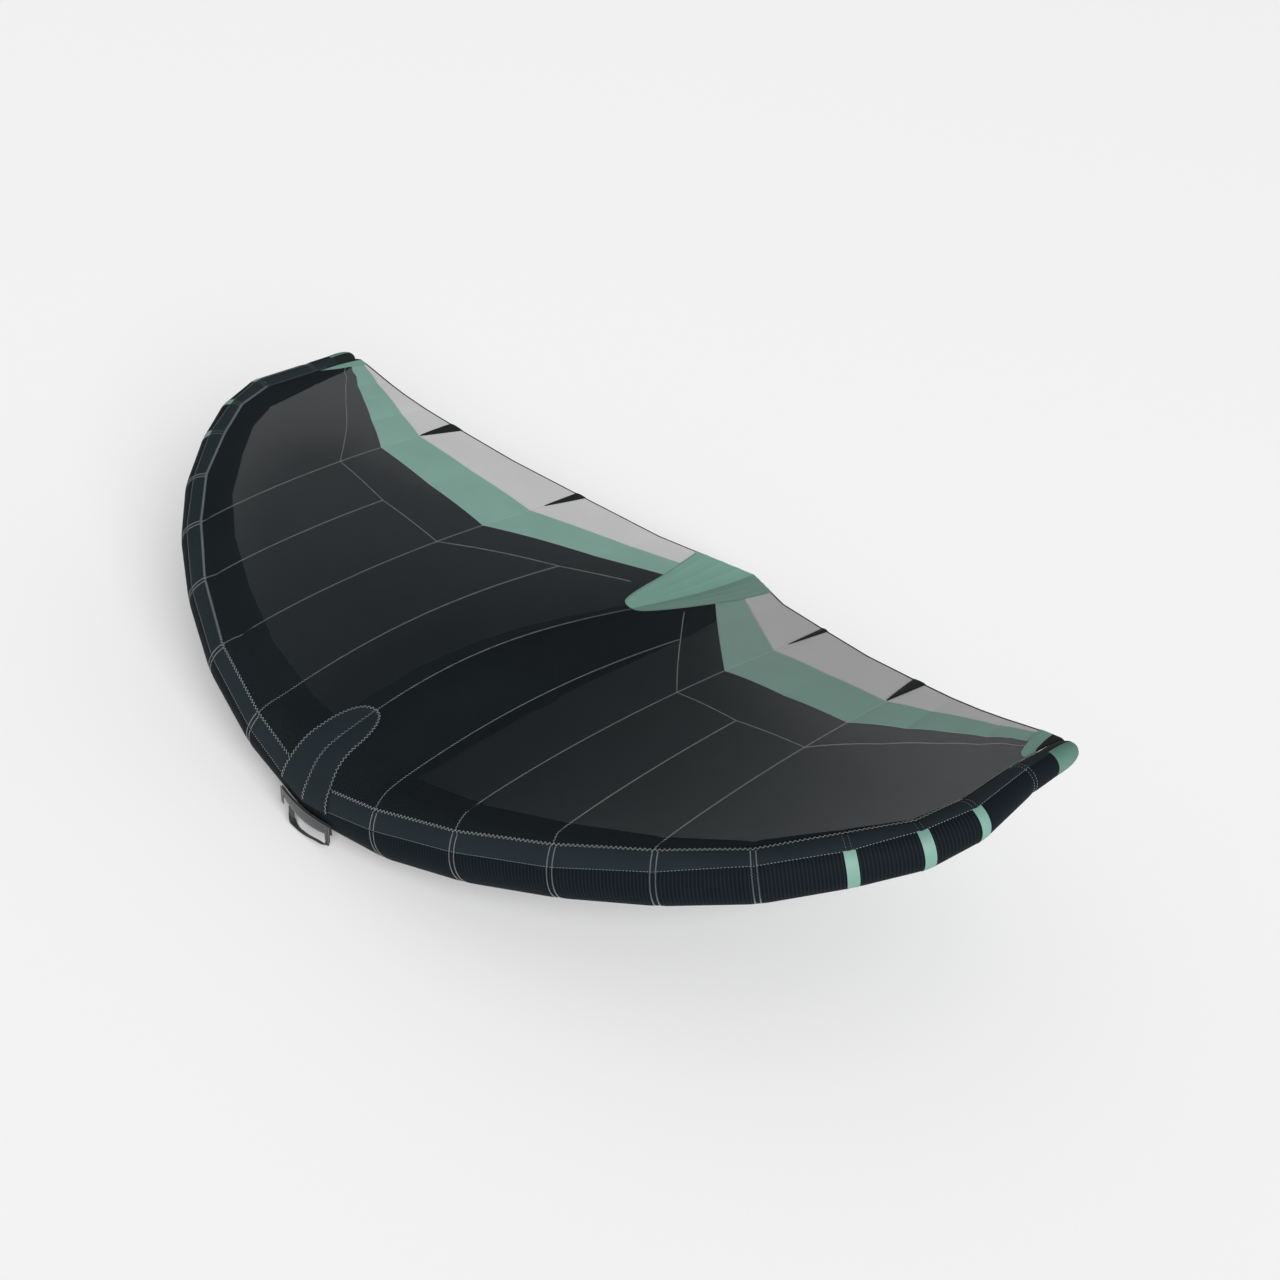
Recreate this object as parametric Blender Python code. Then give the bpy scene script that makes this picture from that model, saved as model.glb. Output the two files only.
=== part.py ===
"""Wingfoil wing: an inflated leading edge and centre strut that carry a thin canopy.

The wing lies the right way up, as it is left on the ground: X is the span, +Y runs from the nose
to the trailing edge and +Z is up. Every outline is worked out from the driving sizes below.
"""
import math

import bmesh
import bpy
from mathutils import Vector

# Driving sizes of the whole wing, in metres
HALF_WIDTH = 1.630
CENTRE_LENGTH = 2.150
TIP_HEIGHT = 0.490
NOSE_RADIUS = 0.132
STRUT_RADIUS = 0.150

# Cloth, film and seam sizes
CASING_WALL = 0.0012
BLADDER_WALL = 0.0010
BLADDER_CLEARANCE = 0.0006
CANOPY_THICKNESS = 0.0008
CANOPY_LIFT = 0.0007
PATCH_THICKNESS = 0.0010
PATCH_LIFT = 0.0009
SEAM_GAP = 0.0003
NOSE_FAIRING = 0.038
BILLOW = 0.007
PORT_OVERRUN = 0.010
# Half of the level run under the nose, which the wing stands on
NOSE_REST_HALF = 0.030

# Stations of the leading-edge tube, from the nose to the tip: along the half span, back along
# the centre chord, up the tip rise and the radius as a part of the nose radius
TUBE_SHARES = (
    (0.000, 0.064, 0.000, 1.000),
    (0.178, 0.064, 0.117, 0.900),
    (0.337, 0.080, 0.268, 0.805),
    (0.491, 0.119, 0.411, 0.740),
    (0.632, 0.169, 0.541, 0.662),
    (0.752, 0.229, 0.662, 0.595),
    (0.847, 0.302, 0.788, 0.556),
    (0.917, 0.367, 0.876, 0.492),
    (0.951, 0.433, 0.947, 0.440),
    (0.962, 0.540, 0.984, 0.340),
    (0.972, 0.591, 0.992, 0.305),
)
TIP_CAP_LENGTH = 0.125
TIP_CAP_SHARES = ((0.00, 1.00), (0.45, 0.97), (0.75, 0.82), (0.92, 0.55), (1.00, 0.22))
TUBE_SIDES = 24
TUBE_PANELS = ((1, 2), (2, 3), (3, 4), (4, 5), (5, 6), (6, 7), (7, 8), (8, 10))

# Where the canopy leaves the tube: angles from the top of the ring towards the back, in degrees
SEAM_ANGLES = (-60, -48, -38, -27, -12, 0, 14, 24, 40, 52, 58)
LEAVE_ANGLES = (-5, -5, -5, -5, -5, 6, 20, 30, 46, 58, 64)

# Trailing edge at each station: along the half span, back along the chord, up the tip rise
TRAILING_SHARES = (
    (0.000, 1.000, -0.073),
    (0.190, 0.884, 0.173),
    (0.366, 0.804, 0.398),
    (0.517, 0.739, 0.584),
    (0.666, 0.695, 0.739),
    (0.742, 0.676, 0.812),
    (0.804, 0.664, 0.873),
    (0.853, 0.658, 0.920),
    (0.890, 0.655, 0.956),
    (0.928, 0.652, 0.992),
    (0.958, 0.652, 1.004),
)
CAMBER_SHARES = (0.061, 0.050, 0.036, 0.032, 0.029, 0.028, 0.027, 0.024, 0.020, 0.010, 0.006)
FRONT_POWER_SHARES = (1.1, 1.0, 0.8, 0.8, 0.8, 0.8, 0.8, 0.8, 0.8, 0.8, 0.8)
REAR_POWER_SHARES = (2.3, 1.6, 1.1, 1.0, 1.0, 1.0, 1.0, 1.0, 1.0, 1.0, 1.0)

# Seams across the canopy at each station, as parts of the chord behind the tube
INNER_SHARES = (0.790, 0.668, 0.514, 0.509, 0.500, 0.600, 0.642, 0.678, 0.690, 0.560, 0.420)
DARK_SHARES = (0.872, 0.781, 0.656, 0.672, 0.668, 0.720, 0.748, 0.764, 0.780, 0.680, 0.560)
LIGHT_SHARES = (0.942, 0.897, 0.814, 0.834, 0.834, 0.869, 0.898, 0.908, 0.926, 0.920, 0.880)
ARC_COLUMNS = 4
MAIN_COLUMNS = 8
BAND_COLUMNS = 2
TIP_STATION = 10
MAIN_PANELS = ((0, 1), (1, 2), (2, 3), (3, 4), (4, TIP_STATION))
STATION_STEPS = (3, 3, 2, 2, 2, 1, 1, 1, 1, 1)

# Strut under the canopy: back along the centre chord and radius as a part of the strut radius
STRUT_SHARES = (
    (0.080, 0.86),
    (0.120, 0.94),
    (0.220, 1.00),
    (0.330, 0.97),
    (0.450, 0.87),
    (0.650, 0.69),
    (0.800, 0.535),
    (0.955, 0.355),
)
STRUT_END_SHARES = ((0.966, 0.31), (0.974, 0.20))
STRUT_SIDES = 24
STRUT_FRONT_SHARE = 0.080
STRUT_REAR_SHARE = 0.955
STRUT_BLADDER_FRONT_SHARE = 0.150
STRUT_BLADDER_REAR_SHARE = 0.930
STRUT_LEAST_STEP = 0.010
STRUT_BLADDER_END_SHARES = (0.55, 0.40)

# Patches sewn over the canopy
NOSE_PATCH_FRONT_ANGLES = (-88, -75, -60)
NOSE_PATCH_WIDTH_SHARES = (0.37, 0.36, 0.34, 0.33, 0.31, 0.28, 0.25, 0.23, 0.20, 0.13)
NOSE_PATCH_REAR_SHARES = (0.025, 0.050, 0.070)
TAIL_PATCH_SHARES = (
    (0.628, 0.04),
    (0.645, 0.15),
    (0.680, 0.25),
    (0.740, 0.35),
    (0.800, 0.43),
    (0.860, 0.50),
    (0.920, 0.57),
    (1.000, 0.64),
)
TIP_PATCH_START = 8.75
TIP_PATCH_COLUMN_SHARES = (0.06, 0.25, 0.50, 0.75, 1.00)

# Battens and their pockets at the trailing edge
BATTEN_STATIONS = (2, 4)
BATTEN_WIDTH = 0.012
BATTEN_THICKNESS = 0.0014
POCKET_WIDTH = 0.046
POCKET_CLEARANCE = 0.0005
POCKET_START_SHARES = (0.866, 0.838)
POCKET_ROOF_MARGIN = 0.004
POCKET_ROOF_LIMIT_SHARE = 0.85
POCKET_FLAT_SHARE = 0.30
BATTEN_PLACE_SHARES = (0.50, 0.75, 0.98)
POCKET_WIDTH_SHARES = ((0.00, 0.10), (0.20, 0.42), (0.45, 0.70), (0.75, 0.88), (1.00, 1.00))

# Handles under the strut
HANDLE_CENTRE_SHARES = (0.205, 0.455)
HANDLE_LENGTH = 0.170
HANDLE_DROP = 0.056
HANDLE_ROOT_RADIUS = 0.0045
HANDLE_WEB_WIDTH = 0.026
HANDLE_WEB_THICKNESS = 0.0050
HANDLE_BOW = 0.0014
HANDLE_ROOT_SHARE = 0.87
HANDLE_ROOT_LENGTH = 0.010
GRIP_WIDTH = 0.030
GRIP_THICKNESS = 0.013
HANDLE_LEG_SHARES = (
    (0.030, 0.06, 0.25),
    (0.045, 0.24, 0.60),
    (0.060, 0.50, 1.00),
    (0.095, 0.80, 1.00),
    (0.155, 0.96, 1.00),
)
HANDLE_GRIP_SHARE = 0.21
HANDLE_PATCH_OVERHANG = 0.045
HANDLE_PATCH_THICKNESS = 0.0020
HANDLE_CLEARANCE_STEPS = 8
SECTION_CORNER_SHARE = 0.45

# Front handle across the nose
FRONT_HANDLE_REACH = 0.119
FRONT_HANDLE_DROP = 0.018
FRONT_HANDLE_BOW = 0.013
FRONT_PAD_END_HEIGHT = 0.034
FRONT_PAD_HEIGHT = 0.052
FRONT_PAD_THICKNESS = 0.009
FRONT_STRAP_WIDTH = 0.020
FRONT_STRAP_THICKNESS = 0.0018
FRONT_TAB_WIDTH = 0.018
FRONT_TAB_LENGTH = 0.060
FRONT_TAB_CORNER = 0.001
FRONT_HANDLE_CLEARANCE = 0.0004
FRONT_HANDLE_STEPS = 12

# Leash loop under the front handle, from its left end under the grip to its right end under the
# tab: its place along the loop's span and down its drop from the line between the ends, the turn
# of its width from across the wing to along it in degrees, and its width as a part of the whole;
# its ends are pressed flat where they are sewn
LOOP_WIDTH = 0.025
LOOP_THICKNESS = 0.0030
LOOP_DROP = 0.056
LOOP_LEFT_REACH = 0.064
LOOP_RIGHT_INSET = 0.009
LOOP_SEAT_GAP = 0.0004
LOOP_END_SHARE = 0.4
LOOP_STEPS = 3
LOOP_SHARES = (
    (0.000, 0.000, 0.0, 1.00),
    (0.000, 0.330, 0.0, 1.00),
    (0.006, 0.660, 20.0, 1.00),
    (0.063, 0.930, 55.0, 1.00),
    (0.195, 1.030, 90.0, 1.00),
    (0.425, 0.910, 90.0, 1.00),
    (0.684, 0.610, 90.0, 1.00),
    (0.891, 0.410, 80.0, 0.90),
    (0.991, 0.200, 40.0, 0.70),
    (1.000, 0.000, 5.0, 0.55),
)

# Inflation valve at the back of the nose panel
VALVE_OFFSET = 0.225
VALVE_ANGLES = (75, 90)
VALVE_NECK_RADIUS = 0.0140
VALVE_BORE_RADIUS = 0.0100
VALVE_NECK_LENGTH = 0.012
VALVE_FLANGE_RADIUS = 0.0220
VALVE_FLANGE_THICKNESS = 0.0025
VALVE_BARREL_RADIUS = 0.0170
VALVE_BARREL_LENGTH = 0.0090
VALVE_HOLE_CLEARANCE = 0.0010
VALVE_CAP_THICKNESS = 0.0040
VALVE_CAP_CHAMFER = 0.0012
VALVE_SIDES = 32

# Least angles at which shading breaks, in degrees
SMOOTH_ANGLE = 40
VALVE_SMOOTH_ANGLE = 30


def lerp(a, b, share):
    """The value a given share of the way from a to b."""
    return a + (b - a) * share


def table_value(table, station):
    """A table's value at a station that may lie between two of its rows."""
    low = min(int(station), len(table) - 2)
    return lerp(table[low], table[low + 1], station - low)


def tube_centre(index):
    """Centre of the tube's ring at a whole station."""
    span, back, rise, _ = TUBE_SHARES[index]
    return Vector((span * HALF_WIDTH, back * CENTRE_LENGTH, rise * TIP_HEIGHT))


def tube_radius(index):
    """Outer radius of the tube's casing at a whole station."""
    return TUBE_SHARES[index][3] * NOSE_RADIUS


def ring_frame(index):
    """Normal, up and back directions of the mitred ring at a whole station."""
    last = len(TUBE_SHARES) - 1
    if index == 0:
        normal = Vector((1, 0, 0))
    else:
        normal = (tube_centre(index) - tube_centre(index - 1)).normalized()
        if index < last:
            normal += (tube_centre(index + 1) - tube_centre(index)).normalized()
        normal.normalize()
    up = Vector((0, 0, 1))
    up -= up.dot(normal) * normal
    up.normalize()
    return normal, up, up.cross(normal)


def ring_point(index, radius, angle):
    """Point on a whole station's ring, the angle in degrees from the top towards the back."""
    _, up, back = ring_frame(index)
    turn = math.radians(angle)
    return tube_centre(index) + radius * (math.cos(turn) * up + math.sin(turn) * back)


def radial(station, angle):
    """Outward direction of the tube at a station and angle."""
    low = min(int(station), TIP_STATION - 1)
    turn = math.radians(angle)
    outs = []
    for index in (low, low + 1):
        _, up, back = ring_frame(index)
        outs.append(math.cos(turn) * up + math.sin(turn) * back)
    return lerp(outs[0], outs[1], station - low).normalized()


def fairing(station, angle):
    """How far the canopy stands off the tube where it rides over the strut at the nose."""
    if station >= 1:
        return 0
    start = table_value(SEAM_ANGLES, station)
    end = table_value(LEAVE_ANGLES, station)
    share = min(max((angle - start) / (end - start), 0), 1)
    return NOSE_FAIRING * (1 - station) * share * share * (3 - 2 * share)


def tube_point(station, angle, lift):
    """Point at a height over the tube's casing, on the straight run between two rings."""
    low = min(int(station), TIP_STATION - 1)
    ends = [ring_point(index, tube_radius(index) + lift, angle) for index in (low, low + 1)]
    return lerp(ends[0], ends[1], station - low)


def camber_shape(share, front, rear):
    """Height of the canopy over its chord as a part of its greatest height."""
    if share <= 0 or share >= 1:
        return 0
    crest = front / (front + rear)
    top = crest ** front * (1 - crest) ** rear
    return share ** front * (1 - share) ** rear / top


def trailing_point(station):
    """Point of the trailing edge at a station."""
    low = min(int(station), TIP_STATION - 1)
    ends = []
    for index in (low, low + 1):
        span, back, rise = TRAILING_SHARES[index]
        ends.append(Vector((span * HALF_WIDTH, back * CENTRE_LENGTH, rise * TIP_HEIGHT)))
    return lerp(ends[0], ends[1], station - low)


def facet_rise(station):
    """Rise that keeps the middle of the canopy's flat facets clear of the round tube."""
    low = min(int(station), TIP_STATION - 1)
    radius = lerp(tube_radius(low), tube_radius(low + 1), station - low)
    turn = table_value(LEAVE_ANGLES, station) - table_value(SEAM_ANGLES, station)
    half = math.radians(turn / ARC_COLUMNS / 2)
    return radius * (1 / math.cos(half) - 1)


def canopy_point(station, share, lift):
    """Point at a height over the canopy's underside seat.

    A share from -1 to 0 runs round the tube from the seam to where the canopy leaves it, and
    a share from 0 to 1 runs back from there to the trailing edge.
    """
    leave = table_value(LEAVE_ANGLES, station)
    rise = facet_rise(station)
    if share <= 0:
        angle = lerp(leave, table_value(SEAM_ANGLES, station), -share)
        return tube_point(station, angle, lift + rise + fairing(station, angle))
    start = tube_point(station, leave, rise + fairing(station, leave))
    end = trailing_point(station)
    point = lerp(start, end, share)
    chord = (end - start).length
    front = table_value(FRONT_POWER_SHARES, station)
    rear = table_value(REAR_POWER_SHARES, station)
    point.z += table_value(CAMBER_SHARES, station) * chord * camber_shape(share, front, rear)
    across = station - int(station)
    fullness = 4 * across * (1 - across) * math.sin(math.pi * share)
    point.z += BILLOW * fullness * min(chord / CENTRE_LENGTH, 1)
    blend = min(share / INNER_SHARES[0], 1)
    out = lerp(radial(station, leave), Vector((0, 0, 1)), blend)
    return point + lift * out.normalized()


def mirrored(points, side):
    """The points on the wing's right (+1) or left (-1) side."""
    return [Vector((side * point.x, point.y, point.z)) for point in points]


def material(name, colour, roughness):
    """A plain material of the piece's own colour."""
    made = bpy.data.materials.get(name)
    if made is None:
        made = bpy.data.materials.new(name)
        made.use_nodes = True
        shader = made.node_tree.nodes["Principled BSDF"]
        shader.inputs["Base Color"].default_value = (*colour, 1)
        shader.inputs["Roughness"].default_value = roughness
        shader.inputs["Metallic"].default_value = 0
    return made


def finish_mesh(name, mesh_data, made, smooth_angle=SMOOTH_ANGLE):
    """Turns a closed bmesh into an object with its faces pointing out."""
    bmesh.ops.recalc_face_normals(mesh_data, faces=mesh_data.faces)
    mesh = bpy.data.meshes.new(name)
    mesh_data.to_mesh(mesh)
    mesh_data.free()
    mesh.shade_smooth()
    mesh.set_sharp_from_angle(angle=math.radians(smooth_angle))
    piece = bpy.data.objects.new(name, mesh)
    bpy.context.collection.objects.link(piece)
    piece.data.materials.append(made)
    return piece


def bridge(mesh_data, ring_a, ring_b, closed=True):
    """Faces between two rows of vertices."""
    count = len(ring_a)
    last = count if closed else count - 1
    for index in range(last):
        after = (index + 1) % count
        mesh_data.faces.new((ring_a[index], ring_a[after], ring_b[after], ring_b[index]))


def cap(mesh_data, ring):
    """A fan that closes a ring."""
    middle = mesh_data.verts.new(sum((vert.co for vert in ring), Vector()) / len(ring))
    for index in range(len(ring)):
        mesh_data.faces.new((ring[index], ring[(index + 1) % len(ring)], middle))


def closed_loft(rings):
    """A solid through a row of rings, closed at both ends."""
    mesh_data = bmesh.new()
    rows = [[mesh_data.verts.new(point) for point in ring] for ring in rings]
    for row, after in zip(rows, rows[1:]):
        bridge(mesh_data, row, after)
    cap(mesh_data, rows[0])
    cap(mesh_data, rows[-1])
    return mesh_data


def even_loft(rings):
    """A closed solid through rings from one tip to the other, its facets alike on both sides."""
    mesh_data = bmesh.new()
    rows = [[mesh_data.verts.new(point) for point in ring] for ring in rings]
    middle = len(rows) // 2
    for step in range(middle):
        for side in (1, -1):
            near = rows[middle + side * step]
            far = rows[middle + side * (step + 1)]
            for index in range(len(near)):
                after = (index + 1) % len(near)
                mesh_data.faces.new((near[index], near[after], far[after]))
                mesh_data.faces.new((near[index], far[after], far[index]))
    cap(mesh_data, rows[0])
    cap(mesh_data, rows[-1])
    return mesh_data


def sleeve(outer, inner, closed_end=False):
    """A thin-walled tube through outer and inner rings, open at its start."""
    mesh_data = bmesh.new()
    outside = [[mesh_data.verts.new(point) for point in ring] for ring in outer]
    inside = [[mesh_data.verts.new(point) for point in ring] for ring in inner]
    for rows in (outside, inside):
        for row, after in zip(rows, rows[1:]):
            bridge(mesh_data, row, after)
    bridge(mesh_data, outside[0], inside[0])
    if closed_end:
        cap(mesh_data, outside[-1])
        cap(mesh_data, inside[-1])
    else:
        bridge(mesh_data, outside[-1], inside[-1])
    return mesh_data


def sheet(bottom, top):
    """A thin closed solid between two grids of points."""
    mesh_data = bmesh.new()
    faces = []
    for grid in (bottom, top):
        rows = [[mesh_data.verts.new(point) for point in row] for row in grid]
        for row, after in zip(rows, rows[1:]):
            bridge(mesh_data, row, after, closed=False)
        faces.append(rows)
    low, high = faces
    bridge(mesh_data, low[0], high[0], closed=False)
    bridge(mesh_data, low[-1], high[-1], closed=False)
    bridge(mesh_data, [row[0] for row in low], [row[0] for row in high], closed=False)
    bridge(mesh_data, [row[-1] for row in low], [row[-1] for row in high], closed=False)
    return mesh_data


def cutter(name, mesh_data):
    """A hidden solid that cuts others."""
    made = finish_mesh(name, mesh_data, material("guide", (1, 0, 1), 1))
    made.hide_render = True
    made.display_type = "WIRE"
    return made


def cut(piece, tool):
    """Takes a hidden solid out of a piece."""
    modifier = piece.modifiers.new("cut_" + tool.name, "BOOLEAN")
    modifier.operation = "DIFFERENCE"
    modifier.solver = "EXACT"
    modifier.object = tool


def round_ring(centre, axis, radius, sides):
    """Points of a circle about an axis that runs roughly along Y."""
    across = axis.cross(Vector((0, 0, 1))).normalized()
    up = across.cross(axis)
    turns = [math.tau * step / sides for step in range(sides)]
    return [centre + radius * (math.cos(t) * across + math.sin(t) * up) for t in turns]


def turned(profile, centre, axis, sides):
    """A ring-shaped solid turned about an axis that runs roughly along Y.

    The profile's points are (radius, distance along the axis), and its outline is closed.
    """
    mesh_data = bmesh.new()
    rings = [
        [mesh_data.verts.new(point) for point in round_ring(centre + along * axis, axis, radius, sides)]
        for radius, along in profile
    ]
    for index in range(len(rings)):
        bridge(mesh_data, rings[index], rings[(index + 1) % len(rings)])
    return mesh_data


def dacron():
    """Black woven polyester of the inflated casings."""
    return material("dacron_casing", (0.013, 0.018, 0.023), 0.6)


def ripstop():
    """Dark grey canopy cloth."""
    return material("canopy_ripstop", (0.030, 0.034, 0.036), 0.5)


def teal_cloth():
    """Teal trailing-edge cloth and reinforcement."""
    return material("teal_cloth", (0.18, 0.38, 0.31), 0.55)


def light_cloth():
    """Light grey trailing-edge cloth."""
    return material("light_cloth", (0.50, 0.50, 0.50), 0.55)


def dark_patch():
    """Dark reinforcement cloth."""
    return material("reinforcement_cloth", (0.020, 0.026, 0.031), 0.7)


def webbing():
    """Grey polyester webbing."""
    return material("grey_webbing", (0.045, 0.045, 0.048), 0.8)


def black_webbing():
    """Black polyester webbing."""
    return material("black_webbing", (0.004, 0.005, 0.006), 0.8)


def film():
    """Clear bladder film."""
    return material("bladder_film", (0.62, 0.64, 0.62), 0.3)


def valve_plastic():
    """Black moulded plastic."""
    return material("valve_plastic", (0.012, 0.012, 0.013), 0.4)


def fibreglass():
    """Batten rod."""
    return material("batten_fibreglass", (0.55, 0.56, 0.50), 0.45)


def tube_ring(index, shrink, shift):
    """Points of a ring, taken in from the casing's outside and shifted along the tube."""
    normal, _, _ = ring_frame(index)
    radius = tube_radius(index) - shrink
    return [
        ring_point(index, radius, 360 * step / TUBE_SIDES) + shift * normal
        for step in range(TUBE_SIDES)
    ]


def nose_rest_ring(shrink):
    """Ring at the end of the nose's level run, its underside as low as the nose's own."""
    share = NOSE_REST_HALF / tube_centre(1).x
    middle = tube_ring(0, shrink, 0)
    ring = [lerp(near, far, share) for near, far in zip(middle, tube_ring(1, shrink, 0))]
    drop = min(point.z for point in ring) - min(point.z for point in middle)
    for step, point in enumerate(ring):
        below = max(-math.cos(math.tau * step / TUBE_SIDES), 0)
        point.z -= drop * below * below
    return ring


def nose_rings(shrink, shift):
    """Rings across the nose: level under its middle, and rising from there to both joints."""
    right = [nose_rest_ring(shrink), tube_ring(1, shrink, -shift)]
    left = [mirrored(ring, -1) for ring in reversed(right)]
    return left + [tube_ring(0, shrink, 0)] + right


def valve_frame():
    """Centre and outward axis of the facet at the back of the nose panel that holds the valve."""
    station = VALVE_OFFSET / tube_centre(1).x
    near = [tube_point(0, angle, 0) for angle in VALVE_ANGLES]
    far = [tube_point(1, angle, 0) for angle in VALVE_ANGLES]
    centre = lerp(near[0] + near[1], far[0] + far[1], station) / 2
    along = far[0] + far[1] - near[0] - near[1]
    axis = along.cross(near[0] - near[1]).normalized()
    if axis.y < 0:
        axis = -axis
    return centre, axis


def leading_edge_casing():
    """The sewn casing of the leading edge: a nose panel and eight panels on each side."""
    half = SEAM_GAP / 2
    nose = finish_mesh(
        "le_nose_panel",
        sleeve(nose_rings(0, half), nose_rings(CASING_WALL, half)),
        dacron(),
    )
    hole = VALVE_NECK_RADIUS + VALVE_HOLE_CLEARANCE
    cut(nose, valve_hole("guide_casing_hole", hole))
    for side, word in ((1, "right"), (-1, "left")):
        for number, (first, last) in enumerate(TUBE_PANELS, start=1):
            outer = []
            inner = []
            for index in range(first, last + 1):
                shift = half if index == first else -half if index == last else 0
                outer.append(mirrored(tube_ring(index, 0, shift), side))
                inner.append(mirrored(tube_ring(index, CASING_WALL, shift), side))
            finish_mesh(f"le_panel_{number}_{word}", sleeve(outer, inner), dacron())


def tip_rings(shrink, start, length):
    """Rings of the rounded tube end beyond the last station."""
    normal, _, _ = ring_frame(TIP_STATION)
    base = tube_centre(TIP_STATION)
    rings = []
    for along, size in TIP_CAP_SHARES:
        shift = (start + along * length) * normal
        ring = tube_ring(TIP_STATION, shrink, 0)
        rings.append([base + (point - base) * size + shift for point in ring])
    return rings


def tip_caps():
    """The rounded cloth ends of the leading edge."""
    half = SEAM_GAP / 2
    outer = tip_rings(0, half, TIP_CAP_LENGTH)
    inner = tip_rings(CASING_WALL, half, TIP_CAP_LENGTH - CASING_WALL)
    for side, word in ((1, "right"), (-1, "left")):
        made = sleeve(
            [mirrored(ring, side) for ring in outer],
            [mirrored(ring, side) for ring in inner],
            closed_end=True,
        )
        finish_mesh(f"le_tip_cap_{word}", made, teal_cloth())


def valve_hole(name, radius):
    """A round cutter through the back of the nose panel."""
    centre, axis = valve_frame()
    ends = (centre - VALVE_FLANGE_RADIUS * axis, centre + VALVE_FLANGE_RADIUS * axis)
    return cutter(name, closed_loft([round_ring(end, axis, radius, VALVE_SIDES) for end in ends]))


def bladder_rings(shrink, end_cut):
    """Rings of the long bladder from the left tip to the right tip."""
    right = [tube_ring(index, shrink, 0) for index in range(1, TIP_STATION + 1)]
    right += tip_rings(shrink, SEAM_GAP / 2, TIP_CAP_LENGTH - end_cut)[1:]
    left = [mirrored(ring, -1) for ring in reversed(right)]
    return left + [tube_ring(0, shrink, 0)] + right


def leading_edge_bladder():
    """The air bladder inside the leading edge, with its valve port."""
    skin = CASING_WALL + BLADDER_CLEARANCE
    inner = skin + BLADDER_WALL
    end = CASING_WALL + 2 * BLADDER_CLEARANCE
    bladder = finish_mesh("le_bladder", even_loft(bladder_rings(skin, end)), film())
    hollow = even_loft(bladder_rings(inner, end + BLADDER_WALL))
    cut(bladder, cutter("guide_bladder_inside", hollow))
    hole = VALVE_NECK_RADIUS + VALVE_HOLE_CLEARANCE
    cut(bladder, valve_hole("guide_bladder_port", hole))


def strut_radius(back):
    """Strut radius at a distance behind the nose."""
    share = back / CENTRE_LENGTH
    rows = STRUT_SHARES + STRUT_END_SHARES
    for (low, size), (high, after) in zip(rows, rows[1:]):
        if share <= high:
            step = min(max((share - low) / (high - low), 0), 1)
            return lerp(size, after, step) * STRUT_RADIUS
    return rows[-1][1] * STRUT_RADIUS


def centre_line():
    """Points of the canopy's underside on the centre line, at its own columns."""
    shares = main_columns(0)
    shares += band_columns(INNER_SHARES, DARK_SHARES)(0)
    shares += band_columns(DARK_SHARES, LIGHT_SHARES)(0)
    shares += band_columns(LIGHT_SHARES, None)(0)
    return [canopy_point(0, share, CANOPY_LIFT) for share in shares]


def strut_top(back):
    """Height of the strut's flat top facet, just under the canopy."""
    line = centre_line()
    for low, high in zip(line, line[1:]):
        if back <= high.y:
            share = (back - low.y) / (high.y - low.y)
            return lerp(low.z, high.z, share) - 2 * CANOPY_LIFT
    return line[-1].z - 2 * CANOPY_LIFT


def strut_ring(back, shrink):
    """Points of a strut ring, with a flat facet at its top and its bottom."""
    half_turn = math.pi / STRUT_SIDES
    radius = strut_radius(back)
    centre = strut_top(back) - radius * math.cos(half_turn)
    points = []
    for step in range(STRUT_SIDES):
        turn = half_turn + math.tau * step / STRUT_SIDES
        size = radius - shrink
        points.append(Vector((size * math.sin(turn), back, centre + size * math.cos(turn))))
    return points


def strut_belly(back):
    """Height of the strut's flat bottom facet."""
    return strut_top(back) - 2 * strut_radius(back) * math.cos(math.pi / STRUT_SIDES)


def strut_stretch():
    """Ring places of the strut's casing, from the leading edge to its closed end."""
    front = STRUT_FRONT_SHARE * CENTRE_LENGTH
    rear = STRUT_REAR_SHARE * CENTRE_LENGTH
    places = [front]
    for point in centre_line():
        if places[-1] + STRUT_LEAST_STEP < point.y < rear - STRUT_LEAST_STEP:
            places.append(point.y)
    end = [share * CENTRE_LENGTH for share, _ in STRUT_END_SHARES]
    return places + [rear] + end


def strut_casing():
    """The sewn strut, cut to sit against the leading edge."""
    places = strut_stretch()
    outer = [strut_ring(back, 0) for back in places]
    inner = [strut_ring(back, CASING_WALL) for back in places[:-1]]
    last = strut_ring(places[-1], CASING_WALL)
    inner.append([point - Vector((0, CASING_WALL, 0)) for point in last])
    casing = finish_mesh("strut_casing", sleeve(outer, inner, closed_end=True), dacron())
    gap = -SEAM_GAP
    cut(casing, cutter("guide_strut_front", closed_loft(nose_rings(gap, 0))))


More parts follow.
